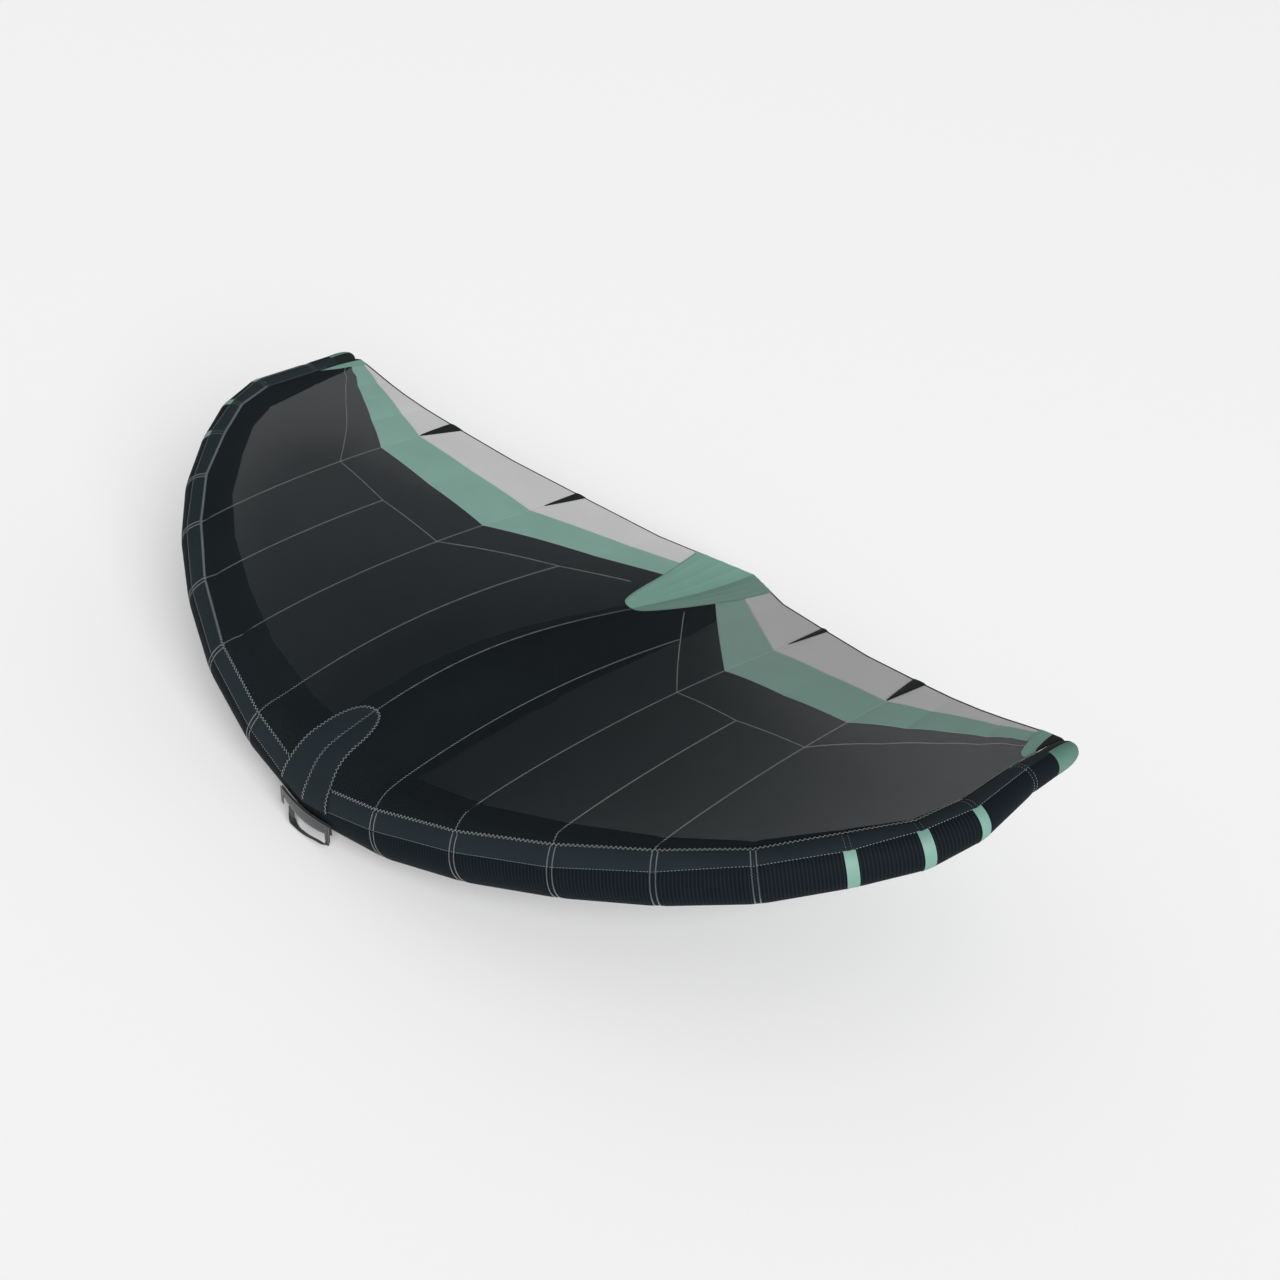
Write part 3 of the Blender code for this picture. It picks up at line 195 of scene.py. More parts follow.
def eased_value(rows, share):
    """The value at a share from rows of (share, value), on a smooth curve through them."""
    last = len(rows) - 1
    index = 0
    while index < last - 1 and share > rows[index + 1][0]:
        index += 1
    (x0, y0), (x1, y1) = rows[index], rows[index + 1]
    xa, ya = rows[max(index - 1, 0)]
    xb, yb = rows[min(index + 2, last)]
    width = x1 - x0
    t = min(max((share - x0) / width, 0), 1)
    slope0 = (y1 - ya) / (x1 - xa) * width
    slope1 = (yb - y0) / (xb - x0) * width
    cube = t * t * t
    square = t * t
    return (
        (2 * cube - 3 * square + 1) * y0 + (cube - 2 * square + t) * slope0
        + (3 * square - 2 * cube) * y1 + (cube - square) * slope1
    )


@lru_cache(None)
def tube_centre(index):
    """Centre of the tube's ring at a whole station."""
    span, back, rise, _ = TUBE_SHARES[index]
    return Vector((span * HALF_WIDTH, back * CENTRE_LENGTH, rise * TIP_HEIGHT))


@lru_cache(None)
def ring_frame(index):
    """Normal, up and back directions of the mitred ring at a whole station."""
    if index == 0:
        normal = Vector((1, 0, 0))
    else:
        normal = (tube_centre(index) - tube_centre(index - 1)).normalized()
        if index < TIP_STATION:
            normal = normal + (tube_centre(index + 1) - tube_centre(index)).normalized()
        normal = normal.normalized()
    up = Vector((0, 0, 1))
    up = (up - up.dot(normal) * normal).normalized()
    return normal, up, up.cross(normal)


@lru_cache(None)
def panel_width(index):
    """Distance between a station and the next one."""
    return (tube_centre(index + 1) - tube_centre(index)).length


def ring_point(index, radius, angle):
    """Point on a whole station's ring, the angle in degrees from the top towards the back."""
    _, up, back = ring_frame(index)
    turn = math.radians(angle)
    return tube_centre(index) + radius * (math.cos(turn) * up + math.sin(turn) * back)


def tube_radius(index):
    """Radius of the tube's casing at a whole station."""
    return TUBE_SHARES[index][3] * NOSE_RADIUS


def side_of(point, station):
    """The point on the wing's side that the station's sign gives."""
    return Vector((-point.x, point.y, point.z)) if station < 0 else point


def tube_point(station, angle, lift):
    """Point at a height over the tube's casing, on the straight run between two rings."""
    place = abs(station)
    low = min(int(place), TIP_STATION - 1)
    ends = [ring_point(index, tube_radius(index) + lift, angle) for index in (low, low + 1)]
    point = lerp(ends[0], ends[1], place - low)
    point.z -= nose_rest(place, angle)
    return side_of(point, station)


@lru_cache(None)
def rest_station():
    """Station where the level run under the nose ends, and how far it is lowered there."""
    share = NOSE_REST_HALF / tube_centre(1).x
    rise = tube_centre(1).z - (tube_radius(1) - tube_radius(0)) * NOSE_RING_LEAN
    return share, share * rise


def nose_rest(station, angle):
    """How far the nose's underside lies below its V, for the level run it stands on."""
    below = -math.cos(math.radians(angle))
    if station >= 1 or below <= 0:
        return 0
    end, drop = rest_station()
    part = station / end if station < end else (1 - station) / (1 - end)
    return drop * part * below * below


def pinch(station):
    """How far the casing is drawn in by the nearest seam round the tube."""
    place = abs(station)
    low = min(int(place), TIP_STATION - 1)
    near = min(max(round(place), 1), TIP_STATION - 1)
    return PINCH_DEPTH * math.exp(-((place - near) * panel_width(low) / PINCH_REACH) ** 2)


def casing_point(station, angle, lift):
    """Point at a height over the finished casing, drawn in by its seams."""
    return tube_point(station, angle, lift - TUBE_SINK - pinch(station))


def radial(station, angle):
    """Outward direction of the tube at a station and angle."""
    place = abs(station)
    low = min(int(place), TIP_STATION - 1)
    turn = math.radians(angle)
    outs = []
    for index in (low, low + 1):
        _, up, back = ring_frame(index)
        outs.append(math.cos(turn) * up + math.sin(turn) * back)
    return side_of(lerp(outs[0], outs[1], place - low).normalized(), station)


def fairing(station, angle):
    """How far the canopy stands off the tube where it rides over the strut at the nose."""
    if station >= 1:
        return 0
    start = table_value(SEAM_ANGLES, station)
    end = table_value(LEAVE_ANGLES, station)
    share = min(max((angle - start) / (end - start), 0), 1)
    square = share * share
    rise = square * (3 - 2 * share) + FAIRING_RUN_ON * (square * share - square)
    return NOSE_FAIRING * (1 - station * station) ** 2 * rise


def camber_shape(share, front, rear):
    """Height of the canopy over its chord as a part of its greatest height."""
    if share <= 0 or share >= 1:
        return 0
    crest = front / (front + rear)
    top = crest ** front * (1 - crest) ** rear
    return share ** front * (1 - share) ** rear / top


@lru_cache(None)
def trailing_end(index):
    """Point of the trailing edge at a whole station."""
    span, back, rise = TRAILING_SHARES[index]
    return Vector((span * HALF_WIDTH, back * CENTRE_LENGTH, rise * TIP_HEIGHT))


@lru_cache(None)
def facet_rise(station):
    """Rise that the model's canopy has over the round of the tube."""
    low = min(int(station), TIP_STATION - 1)
    radius = lerp(tube_radius(low), tube_radius(low + 1), station - low)
    turn = table_value(LEAVE_ANGLES, station) - table_value(SEAM_ANGLES, station)
    return radius * (1 / math.cos(math.radians(turn / ARC_COLUMNS / 2)) - 1)


@lru_cache(None)
def chord_ends(station):
    """Where the canopy leaves the tube, where it ends, and how far apart these are."""
    leave = table_value(LEAVE_ANGLES, station)
    start = tube_point(station, leave, facet_rise(station) + fairing(station, leave))
    low = min(int(station), TIP_STATION - 1)
    end = lerp(trailing_end(low), trailing_end(low + 1), station - low)
    return start, end, (end - start).length


# How far before and behind the tube's crest the canopy's curve is eased, and in which steps
EASE_REACH = 0.11
EASE_STEP = 0.020
EASE_WEIGHTS = ((-2, 1), (-1, 2), (0, 3), (1, 2), (2, 1))
# The easing ends at this station and fades out over this many stations before it
EASE_END = 1.6
EASE_FADE = 0.6
# Steps to each side, in stations and shares, that give the canopy's slope
SLOPE_STATIONS = 0.04
SLOPE_SHARE = 0.01


def canopy_point(station, share, lift):
    """Point at a height over the canopy's underside seat.

    A share from -1 to 0 runs round the tube from the seam to where the canopy leaves it, and
    a share from 0 to 1 runs back from there to the trailing edge.
    """
    place = abs(station)
    if place >= EASE_END:
        return canopy_seat(station, share, lift)
    _, _, chord = chord_ends(place)
    turn = table_value(LEAVE_ANGLES, place) - table_value(SEAM_ANGLES, place)
    arc = math.radians(turn) * NOSE_RADIUS
    run = share * (arc if share < 0 else chord)
    reach = 1 - abs(run) / EASE_REACH
    if reach <= 0:
        return canopy_seat(station, share, lift)
    step = EASE_STEP * reach * min((EASE_END - place) / EASE_FADE, 1)
    total = Vector()
    for offset, weight in EASE_WEIGHTS:
        spot = run + offset * step
        spot_share = spot / (arc if spot < 0 else chord)
        total += weight * canopy_seat(station, max(spot_share, -1), lift)
    return total / sum(weight for _, weight in EASE_WEIGHTS)


def canopy_seat(station, share, lift):
    """Point at a height over the seat that the tube and the chord give the canopy."""
    place = abs(station)
    leave = table_value(LEAVE_ANGLES, place)
    if share <= 0:
        angle = lerp(leave, table_value(SEAM_ANGLES, place), -share)
        height = lift + facet_rise(place) + fairing(place, angle)
        return side_of(tube_point(place, angle, height), station)
    start, end, chord = chord_ends(place)
    point = lerp(start, end, share)
    front = table_value(FRONT_POWER_SHARES, place)
    rear = table_value(REAR_POWER_SHARES, place)
    point.z += table_value(CAMBER_SHARES, place) * chord * camber_shape(share, front, rear)
    across = place - int(place)
    fullness = 4 * across * (1 - across) * math.sin(math.pi * share)
    point.z += BILLOW * fullness * min(chord / CENTRE_LENGTH, 1)
    blend = min(share / INNER_SHARES[0], 1)
    out = lerp(radial(place, leave), Vector((0, 0, 1)), blend)
    return side_of(point + lift * out.normalized(), station)


def over_canopy(station, share, lift):
    """Point above the canopy's upper face."""
    return canopy_point(station, share, CANOPY_LIFT + CANOPY_THICKNESS + lift)


def canopy_out(station, share):
    """Direction that the canopy's upper face looks in."""
    ahead = min(station + SLOPE_STATIONS, TIP_STATION)
    after = min(share + SLOPE_SHARE, 1)
    across = canopy_point(ahead, share, 0) - canopy_point(ahead - 2 * SLOPE_STATIONS, share, 0)
    back = canopy_point(station, after, 0) - canopy_point(station, after - 2 * SLOPE_SHARE, 0)
    out = across.cross(back).normalized()
    return -out if out.dot(Vector((0, -0.5, 1))) < 0 else out


def tube_stations(low, high):
    """Stations along the tube, closer together by each seam."""
    places = []
    for index in range(low, high):
        width = panel_width(index)
        near = [row / width for row in PINCH_ROWS if row < width / 3]
        head = [index + row for row in near]
        tail = [index + 1 - row for row in reversed(near)]
        count = max(2, math.ceil((tail[0] - head[-1]) * width / ROW_STEP))
        places += head + steps(head[-1], tail[0], count)[1:-1] + tail[:-1]
    return places + [high]


@lru_cache(None)
def strut_line():
    """Places along the canopy's underside on the centre line, at the model's own columns."""
    shares = steps(0, INNER_SHARES[0], 8) + steps(INNER_SHARES[0], DARK_SHARES[0], 2)[1:]
    shares += steps(DARK_SHARES[0], LIGHT_SHARES[0], 2)[1:] + steps(LIGHT_SHARES[0], 1, 2)[1:]
    return [canopy_seat(0, share, CANOPY_LIFT) for share in shares]


def strut_top(back):
    """Height of the strut's top, just under the canopy."""
    line = strut_line()
    for low, high in zip(line, line[1:]):
        if back <= high.y:
            return lerp(low.z, high.z, (back - low.y) / (high.y - low.y)) - 2 * CANOPY_LIFT
    return line[-1].z - 2 * CANOPY_LIFT


def strut_size(back):
    """Radius of the strut at a distance behind the nose."""
    return share_value(STRUT_SHARES, back / CENTRE_LENGTH) * STRUT_RADIUS


def strut_point(back, angle, lift):
    """Point at a height over the strut, the angle in degrees from its top towards the right."""
    turn = math.radians(angle)
    size = strut_size(back)
    centre = strut_top(back) - size * STRUT_FLAT
    size = size * ROUND_SHARE + lift
    return Vector((size * math.sin(turn), back, centre + size * math.cos(turn)))


def strut_out(angle):
    """Outward direction of the strut."""
    turn = math.radians(angle)
    return Vector((math.sin(turn), 0, math.cos(turn)))


def clear_of_nose(point):
    """Distance of a point from the nose's casing."""
    side = Vector((abs(point.x), point.y, point.z))
    start, end = tube_centre(0), tube_centre(1)
    along = (end - start).normalized()
    run = (side - start).dot(along)
    radius = lerp(tube_radius(0), tube_radius(1), run / panel_width(0))
    return (side - start - run * along).length - radius


# Where the search for the strut's mouth starts at the back, and how often it halves its range
MOUTH_BACK = 0.42
MOUTH_HALVINGS = 18


def strut_mouth(angle, lift):
    """Where a line along the strut meets the nose's casing, or the strut's own front edge."""
    low, high = STRUT_SHARES[0][0] * CENTRE_LENGTH, MOUTH_BACK
    for _ in range(MOUTH_HALVINGS):
        middle = (low + high) / 2
        if clear_of_nose(strut_point(middle, angle, lift)) > SEAM_GAP:
            high = middle
        else:
            low = middle
    return high


# Pieces of cloth and thread

# Edges that turn by more degrees than this stay sharp: on cloth, and on moulded plastic
SMOOTH_ANGLE = 38
MOULDED_ANGLE = 30


def new_object(name, data):
    """A new object of the scene."""
    made = bpy.data.objects.new(name, data)
    bpy.context.scene.collection.objects.link(made)
    return made


class Shape:
    """Points and faces of one piece, with the place of each corner on its flat cloth."""

    def __init__(self):
        self.points = []
        self.faces = []
        self.places = []
        self.picks = []

    def row(self, points):
        """Takes in a row of points and gives their numbers."""
        start = len(self.points)
        self.points.extend(points)
        return list(range(start, len(self.points)))

    def face(self, corners, places=None, pick=0):
        """Adds a face, the places of its corners on the cloth and its material's number."""
        self.faces.append(corners)
        self.places.extend(places or [(0, 0, 0)] * len(corners))
        self.picks.append(pick)

    def bridge(self, row, after, closed=False):
        """Faces between two rows of points already taken in."""
        count = len(row)
        for index in range(count if closed else count - 1):
            other = (index + 1) % count
            self.face((row[index], row[other], after[other], after[index]))

    def grid(self, grid, closed=False, pick=None):
        """Faces over a grid of points, laid out flat as cloth is cut."""
        places = flat_places(grid, closed)
        rows = [self.row(points) for points in grid]
        for index in range(len(rows) - 1):
            row, after = rows[index], rows[index + 1]
            here, there = places[index], places[index + 1]
            count = len(row)
            for column in range(count if closed else count - 1):
                other = (column + 1) % count
                self.face(
                    (row[column], row[other], after[other], after[column]),
                    (here[column], here[column + 1], there[column + 1], there[column]),
                    pick(index, column) if pick else 0,
                )
        return rows

    def layers(self, low, high, closed=False, pick=None):
        """A thin solid between two grids of points."""
        under = self.grid(low, closed, pick)
        over = self.grid(high, closed, pick)
        for end in (0, -1):
            self.bridge(under[end], over[end], closed)
            if not closed:
                self.bridge([row[end] for row in under], [row[end] for row in over])

    def loft(self, rings):
        """A solid through a row of closed rings."""
        rows = self.grid(rings, True)
        self.face(tuple(rows[0]))
        self.face(tuple(rows[-1]))

    def shell(self, inner, outer, pick=None):
        """A wall between two skins of closed rings, open at its first ring."""
        inside = self.grid(inner, True)
        outside = self.grid(outer, True, pick)
        self.bridge(inside[0], outside[0], True)
        self.face(tuple(inside[-1]))
        self.face(tuple(outside[-1]))

    def build(self, name, materials, body, replaced=(), smooth=SMOOTH_ANGLE):
        """The finished piece, which rides on a body and stands for its solids."""
        mesh = bpy.data.meshes.new(name)
        mesh.from_pydata([tuple(point + SHIFT) for point in self.points], [], self.faces)
        for made in materials:
            mesh.materials.append(made)
        mesh.polygons.foreach_set("material_index", self.picks)
        laid = mesh.attributes.new("cloth_place", "FLOAT_VECTOR", "CORNER")
        laid.data.foreach_set("vector", [value for place in self.places for value in place])
        work = bmesh.new()
        work.from_mesh(mesh)
        bmesh.ops.recalc_face_normals(work, faces=work.faces)
        work.to_mesh(mesh)
        work.free()
        mesh.shade_smooth()
        mesh.set_sharp_from_angle(angle=math.radians(smooth))
        piece = new_object(name, mesh)
        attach(piece, body)
        if replaced:
            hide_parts(*replaced)
        return piece


def layered(name, grids, materials, replaced=(), body="wing", pick=None):
    """A piece of cloth between its lower and its upper grid of points."""
    shape = Shape()
    shape.layers(*grids, pick=pick)
    return shape.build(name, materials, body, replaced)


def flat_places(grid, closed=False):
    """Where each point of a grid lies on its flat cloth, in metres."""
    places = []
    run = 0
    before = None
    for row in grid:
        middle = row[len(row) // 2]
        if before is not None:
            run += (middle - before).length
        before = middle
        line = list(row) + ([row[0]] if closed else [])
        along = [0]
        for point, after in zip(line, line[1:]):
            along.append(along[-1] + (after - point).length)
        start = 0 if closed else along[len(row) // 2]
        places.append([(value - start, run, 0) for value in along])
    return places


# Thread is drawn up to 1.3 mm wide for a real 0.8 mm, and 1.8 mm where it is tone on tone, and
# its zigzags a quarter larger than real ones, so that they show
THREAD_WIDTH = 0.0013
FINE_WIDTH = 0.0010
GRIP_THREAD_WIDTH = 0.0011
SMALL_WIDTH = 0.0009
TONE_WIDTH = 0.0018
THREAD_HEIGHT = 0.0006
THREAD_SINK = THREAD_HEIGHT * 0.4
# Half the width and the length of each kind of zigzag; dashes have a length alone
ZIGZAG_REACH = 0.0040
ZIGZAG_PITCH = 0.0125
RING_REACH = 0.0017
RING_PITCH = 0.0080
STRUT_REACH = 0.0016
STRUT_PITCH = 0.0065
FINE_REACH = 0.0022
FINE_PITCH = 0.0100
DASH_PITCH = 0.0088
SMALL_PITCH = 0.0055
# Heights of a seam's thread over the casing and over the canopy
CASING_THREAD_LIFT = 0.0002
CANOPY_THREAD_LIFT = 0.0001


def thread(shape, start, end, out, width=THREAD_WIDTH):
    """One stitch of thread between two points of the cloth."""
    along = (end - start).normalized()
    across = along.cross(out) * (width / 2)
    sink = out * THREAD_SINK
    rise = out * THREAD_HEIGHT
    rows = [
        shape.row([end_point - across - sink, end_point + across - sink, end_point + rise])
        for end_point in (start, end)
    ]
    shape.bridge(rows[0], rows[1], True)
    shape.face(tuple(rows[0]))
    shape.face(tuple(rows[1]))


def sew(shape, line, reach, pitch, width=THREAD_WIDTH):
    """Stitches along a line of (point, outward direction): zigzags, or dashes with no reach."""
    lengths = [0]
    for (point, _), (after, _) in zip(line, line[1:]):
        lengths.append(lengths[-1] + (after - point).length)
    total = lengths[-1]
    count = max(2, round(total / (pitch / 2)))
    gap = total / count
    spots = []
    index = 0
    for number in range(count + 1):
        run = number * gap
        while index < len(line) - 2 and run > lengths[index + 1]:
            index += 1
        width_here = lengths[index + 1] - lengths[index]
        share = (run - lengths[index]) / width_here if width_here else 0
        point = lerp(line[index][0], line[index + 1][0], share)
        out = lerp(line[index][1], line[index + 1][1], share).normalized()
        along = (line[index + 1][0] - line[index][0]).normalized()
        side = along.cross(out) * (reach if number % 2 else -reach)
        spots.append((point + side, out))
    if reach:
        for (start, out), (end, _) in zip(spots, spots[1:]):
            thread(shape, start, end, out, width)
    else:
        for (start, out), (end, _) in list(zip(spots, spots[1:]))[::2]:
            thread(shape, start, end, out, width)


def casing_line(places):
    """A seam's line on the casing through (station, angle) places."""
    return [(casing_point(s, a, CASING_THREAD_LIFT), radial(s, a)) for s, a in places]


def canopy_line(places, lift=CANOPY_THREAD_LIFT):
    """A seam's line on the canopy through (station, share) places."""
    return [(over_canopy(s, share, lift), canopy_out(s, share)) for s, share in places]


def patch_line(places):
    """A seam's line on the nose's patch through (station, share) places."""
    lift = PATCH_LIFT + PATCH_THICKNESS + CANOPY_THREAD_LIFT
    return [(patch_spot(s, share, lift), patch_out(s, share)) for s, share in places]


def strut_seam(backs, angles, lift=CASING_THREAD_LIFT):
    """A seam's line on the strut, along it or round it."""
    return [(strut_point(back, a, lift), strut_out(a)) for back in backs for a in angles]


# Materials

def linear(shade):
    """The linear colour of an sRGB hex value."""
    values = [int(shade[start:start + 2], 16) / 255 for start in (1, 3, 5)]
    return [v / 12.92 if v <= 0.04045 else ((v + 0.055) / 1.055) ** 2.4 for v in values]


def add_node(tree, kind, inputs=None, **settings):
    """Adds a node with its settings, its constant inputs and its links."""
    node = tree.nodes.new(kind)
    for key, value in settings.items():
        setattr(node, key, value)
    for key, value in (inputs or {}).items():
        if isinstance(value, bpy.types.NodeSocket):
            tree.links.new(value, node.inputs[key])
        else:
            node.inputs[key].default_value = value
    return node


def new_material(name):
    """A material with its node tree and its shader."""
    made = bpy.data.materials.new(name)
    made.use_nodes = True
    return made, made.node_tree, made.node_tree.nodes["Principled BSDF"]


def cloudy_surface(tree, shader, shade, worn, cloud, roughness, spread, limits):
    """Colour scaled by a node's value, and roughness that follows a noise between its limits."""
    colour = add_node(tree, "ShaderNodeVectorMath", {0: linear(shade), "Scale": worn.outputs[0]},
                      operation="SCALE")
    dull = add_node(tree, "ShaderNodeMapRange", {
        "Value": cloud.outputs[0], **limits,
        "To Min": roughness - spread, "To Max": roughness + spread})
    tree.links.new(colour.outputs[0], shader.inputs["Base Color"])
    tree.links.new(dull.outputs[0], shader.inputs["Roughness"])


# The part of a soft noise's range that its values fill, and how deep each relief shows
CLOUD_LIMITS = {"From Min": 0.3, "From Max": 0.7}
RELIEF_STRENGTH = 0.6


def woven_cloth(name, shade, threads, contrast, roughness, relief, sharp=1, crease=0.0,
                mottle=0.07, alpha=1.0, sheen=0.0, ior=1.5):
    """Cloth with a weave of ridges each so many millimetres along and across it.

    The relief of the weave and the creases' depth are in millimetres too.
    """
    made, tree, shader = new_material(name)
    laid = add_node(tree, "ShaderNodeAttribute", attribute_name="cloth_place")
    split = add_node(tree, "ShaderNodeSeparateXYZ", {0: laid.outputs["Vector"]})
    weave = None
    for axis, pitch in zip("XY", threads):
        if not pitch:
            continue
        turn = add_node(tree, "ShaderNodeMath",
                        {0: split.outputs[axis], 1: math.tau * 1000 / pitch},
                        operation="MULTIPLY")
        wave = add_node(tree, "ShaderNodeMath", {0: turn.outputs[0]}, operation="COSINE")
        lift = add_node(tree, "ShaderNodeMath", {0: wave.outputs[0], 1: 0.5, 2: 0.5},
                        operation="MULTIPLY_ADD")
        ridge = add_node(tree, "ShaderNodeMath", {0: lift.outputs[0], 1: sharp}, operation="POWER")
        if weave is None:
            weave = ridge
        else:
            weave = add_node(tree, "ShaderNodeMath", {0: weave.outputs[0], 1: ridge.outputs[0]},
                             operation="MAXIMUM")
    place = add_node(tree, "ShaderNodeTexCoord")
    cloud = add_node(tree, "ShaderNodeTexNoise", {
        "Vector": place.outputs["Object"], "Scale": 5.0, "Detail": 4.0, "Roughness": 0.6})
    tone = add_node(tree, "ShaderNodeMapRange", {
        "Value": cloud.outputs[0], **CLOUD_LIMITS, "To Min": 1 - mottle, "To Max": 1 + mottle})
    worn = add_node(tree, "ShaderNodeMath", {0: weave.outputs[0], 1: contrast, 2: tone.outputs[0]},
                    operation="MULTIPLY_ADD")
    cloudy_surface(tree, shader, shade, worn, cloud, roughness, 0.05, CLOUD_LIMITS)
    raised = add_node(tree, "ShaderNodeBump", {
        "Height": weave.outputs[0], "Distance": relief / 1000, "Strength": RELIEF_STRENGTH})
    if crease:
        fold = add_node(tree, "ShaderNodeTexNoise", {
            "Vector": place.outputs["Object"], "Scale": 14.0, "Detail": 3.0, "Distortion": 0.8})
        raised = add_node(tree, "ShaderNodeBump", {
            "Height": fold.outputs[0], "Distance": crease / 1000, "Strength": RELIEF_STRENGTH,
            "Normal": raised.outputs[0]})
    tree.links.new(raised.outputs[0], shader.inputs["Normal"])
    shader.inputs["IOR"].default_value = ior
    if sheen:
        shader.inputs["Sheen Weight"].default_value = sheen
        shader.inputs["Sheen Roughness"].default_value = 0.5
    shader.inputs["Alpha"].default_value = alpha
    return made


def moulded(name, shade, roughness, grain, transmission=0.0):
    """Smooth moulded or drawn plastic with a fine grain, its scale per metre."""
    made, tree, shader = new_material(name)
    place = add_node(tree, "ShaderNodeTexCoord")
    speck = add_node(tree, "ShaderNodeTexNoise", {
        "Vector": place.outputs["Object"], "Scale": grain, "Detail": 3.0})
    tone = add_node(tree, "ShaderNodeMapRange", {
        "Value": speck.outputs[0], "To Min": 0.9, "To Max": 1.1})
    cloudy_surface(tree, shader, shade, tone, speck, roughness, 0.06, {})
    bump = add_node(tree, "ShaderNodeBump", {
        "Height": speck.outputs[0], "Distance": 0.0001, "Strength": 0.3})
    tree.links.new(bump.outputs[0], shader.inputs["Normal"])
    shader.inputs["IOR"].default_value = 1.5
    shader.inputs["Transmission Weight"].default_value = transmission
    return made


# Coated woven polyester, calendered smooth: dark blue-black with a soft satin shine
DACRON = woven_cloth("dacron_calendered", "#20282c", (2.4, 2.4), 0.05, 0.50, 0.02, crease=0.3,
                     ior=1.1)
# The same cloth with raised ribs round the tube, painted darker for the shade on the tube's
# underside; the ribs are drawn at 9 mm so that they show, real ones are 5
SHADED_RIBBED = woven_cloth("dacron_ribbed_painted_shade", "#0d1317", (0, 9.0), 1.2, 0.65, 0.30, sharp=3, crease=0.5,
                     ior=1.12)
# Coated polyester ripstop: thin, crisp and a little see-through, with a 5 mm check
RIPSTOP = woven_cloth("ripstop_coated", "#1c2124", (5.0, 5.0), 0.10, 0.55, 0.008, sharp=10,
                      crease=0.15, alpha=0.74, ior=1.06)
TEAL = woven_cloth("ripstop_teal", "#709388", (5.0, 5.0), 0.05, 0.48, 0.01, sharp=10, crease=0.3,
                   mottle=0.04)
LIGHT = woven_cloth("ripstop_light_grey", "#b4b4b4", (5.0, 5.0), 0.04, 0.48, 0.01, sharp=10,
                    crease=0.3, mottle=0.03)
# Heavier teal cloth of the reinforcements and bands, its weave a little coarser
TEAL_PATCH = woven_cloth("dacron_teal", "#688e82", (3.0, 3.0), 0.06, 0.55, 0.05, crease=0.4,
                         mottle=0.05)
# The same cloth at the tube's ends, painted darker for the shade on the ends, with an uneven,
# mottled tone
SHADED_END_CLOTH = woven_cloth("dacron_teal_painted_shade", "#456a5e", (3.0, 3.0), 0.20, 0.60, 0.05, crease=0.4,
                        mottle=0.22)
# Dark reinforcement cloth, a matt woven polyester
PATCH = woven_cloth("reinforcement_weave", "#171c20", (3.0, 3.0), 0.12, 0.62, 0.06, crease=0.3,
                    ior=1.35)
SLOT_CLOTH = woven_cloth("pocket_weave", "#121415", (3.0, 3.0), 0.15, 0.7, 0.06, ior=1.3)
# Polyester webbing, woven in ribs across its length
GREY_WEBBING = woven_cloth("webbing_grey", "#1d1e20", (1.6, 2.2), 0.30, 0.8, 0.25, sheen=0.2)
BLACK_WEBBING = woven_cloth("webbing_black", "#0d1012", (1.6, 2.2), 0.35, 0.8, 0.25, sheen=0.15)
# Knitted cloth over foam, soft and matt
GRIP_CLOTH = woven_cloth("grip_knit", "#121517", (2.0, 2.0), 0.25, 0.85, 0.20, sheen=0.25)
# Bonded polyester sewing thread
THREAD = woven_cloth("thread_light", "#838688", (1.0, 1.0), 0.10, 0.6, 0.02)
DARK_THREAD = woven_cloth("thread_dark", "#2c423c", (1.0, 1.0), 0.10, 0.6, 0.02)
# Thermoplastic film, cloudy and slightly shiny
FILM = moulded("bladder_film", "#c9cdc6", 0.30, 40.0, transmission=0.3)
# Moulded nylon with a fine spark texture
NYLON = moulded("valve_nylon", "#1b1c1d", 0.42, 900.0)
# Pultruded glass fibre rod, pale and slightly glossy
GLASS_ROD = moulded("fibreglass_rod", "#c4c5b4", 0.40, 250.0)


# The leading edge

# Seams outside which the tube has a teal band, and the black part of its rounded ends
BAND_STATIONS = (6, 7, 8)
END_BLACK_ANGLES = (14, 196)


def ring_angles(station):
    """Angles round the tube, from its front seam over the top to its back seam and round."""
    front = table_value(FRONT_SEAM_ANGLES, abs(station))
    upper = steps(front, BACK_SEAM_ANGLE, TUBE_COLUMNS)
    lower = steps(BACK_SEAM_ANGLE, front + 360, TUBE_COLUMNS)
    return upper[:-1] + lower[:-1]


def cloth_of_ring(_, column):
    """The smooth cloth above the two long seams and the ribbed cloth, painted darker for shade,
    below them.
    """
    return 0 if column < TUBE_COLUMNS else 1


def tube_panel(name, stations, replaced):
    """One sewn panel of the leading edge."""
    shape = Shape()
    low, high = (
        [[casing_point(s, a, lift) for a in ring_angles(s)] for s in stations]
        for lift in (-CASING_WALL, 0)
    )
    shape.layers(low, high, True, cloth_of_ring)
    shape.build(name, (DACRON, SHADED_RIBBED), "wing", replaced)


def leading_edge():
    """The nose panel, eight panels on each side and the rounded ends."""
    half = tube_stations(0, 1)
    half[-1] -= SEAM_GAP / 2 / panel_width(0)
    tube_panel("le_nose", [-s for s in reversed(half[1:])] + half, ("le_nose_panel",))
    for side, word in SIDES:
        for number, (first, last) in enumerate(TUBE_PANELS, start=1):
            stations = tube_stations(first, last)
            stations[0] += SEAM_GAP / 2 / panel_width(first)
            stations[-1] -= SEAM_GAP / 2 / panel_width(last - 1)
            name = f"le_casing_{number}_{word}"
            tube_panel(name, [side * s for s in stations], (f"le_panel_{number}_{word}",))
        tube_end(side, word)
        for station in BAND_STATIONS:
            trim_band(side * station, f"le_band_{station}_{word}")


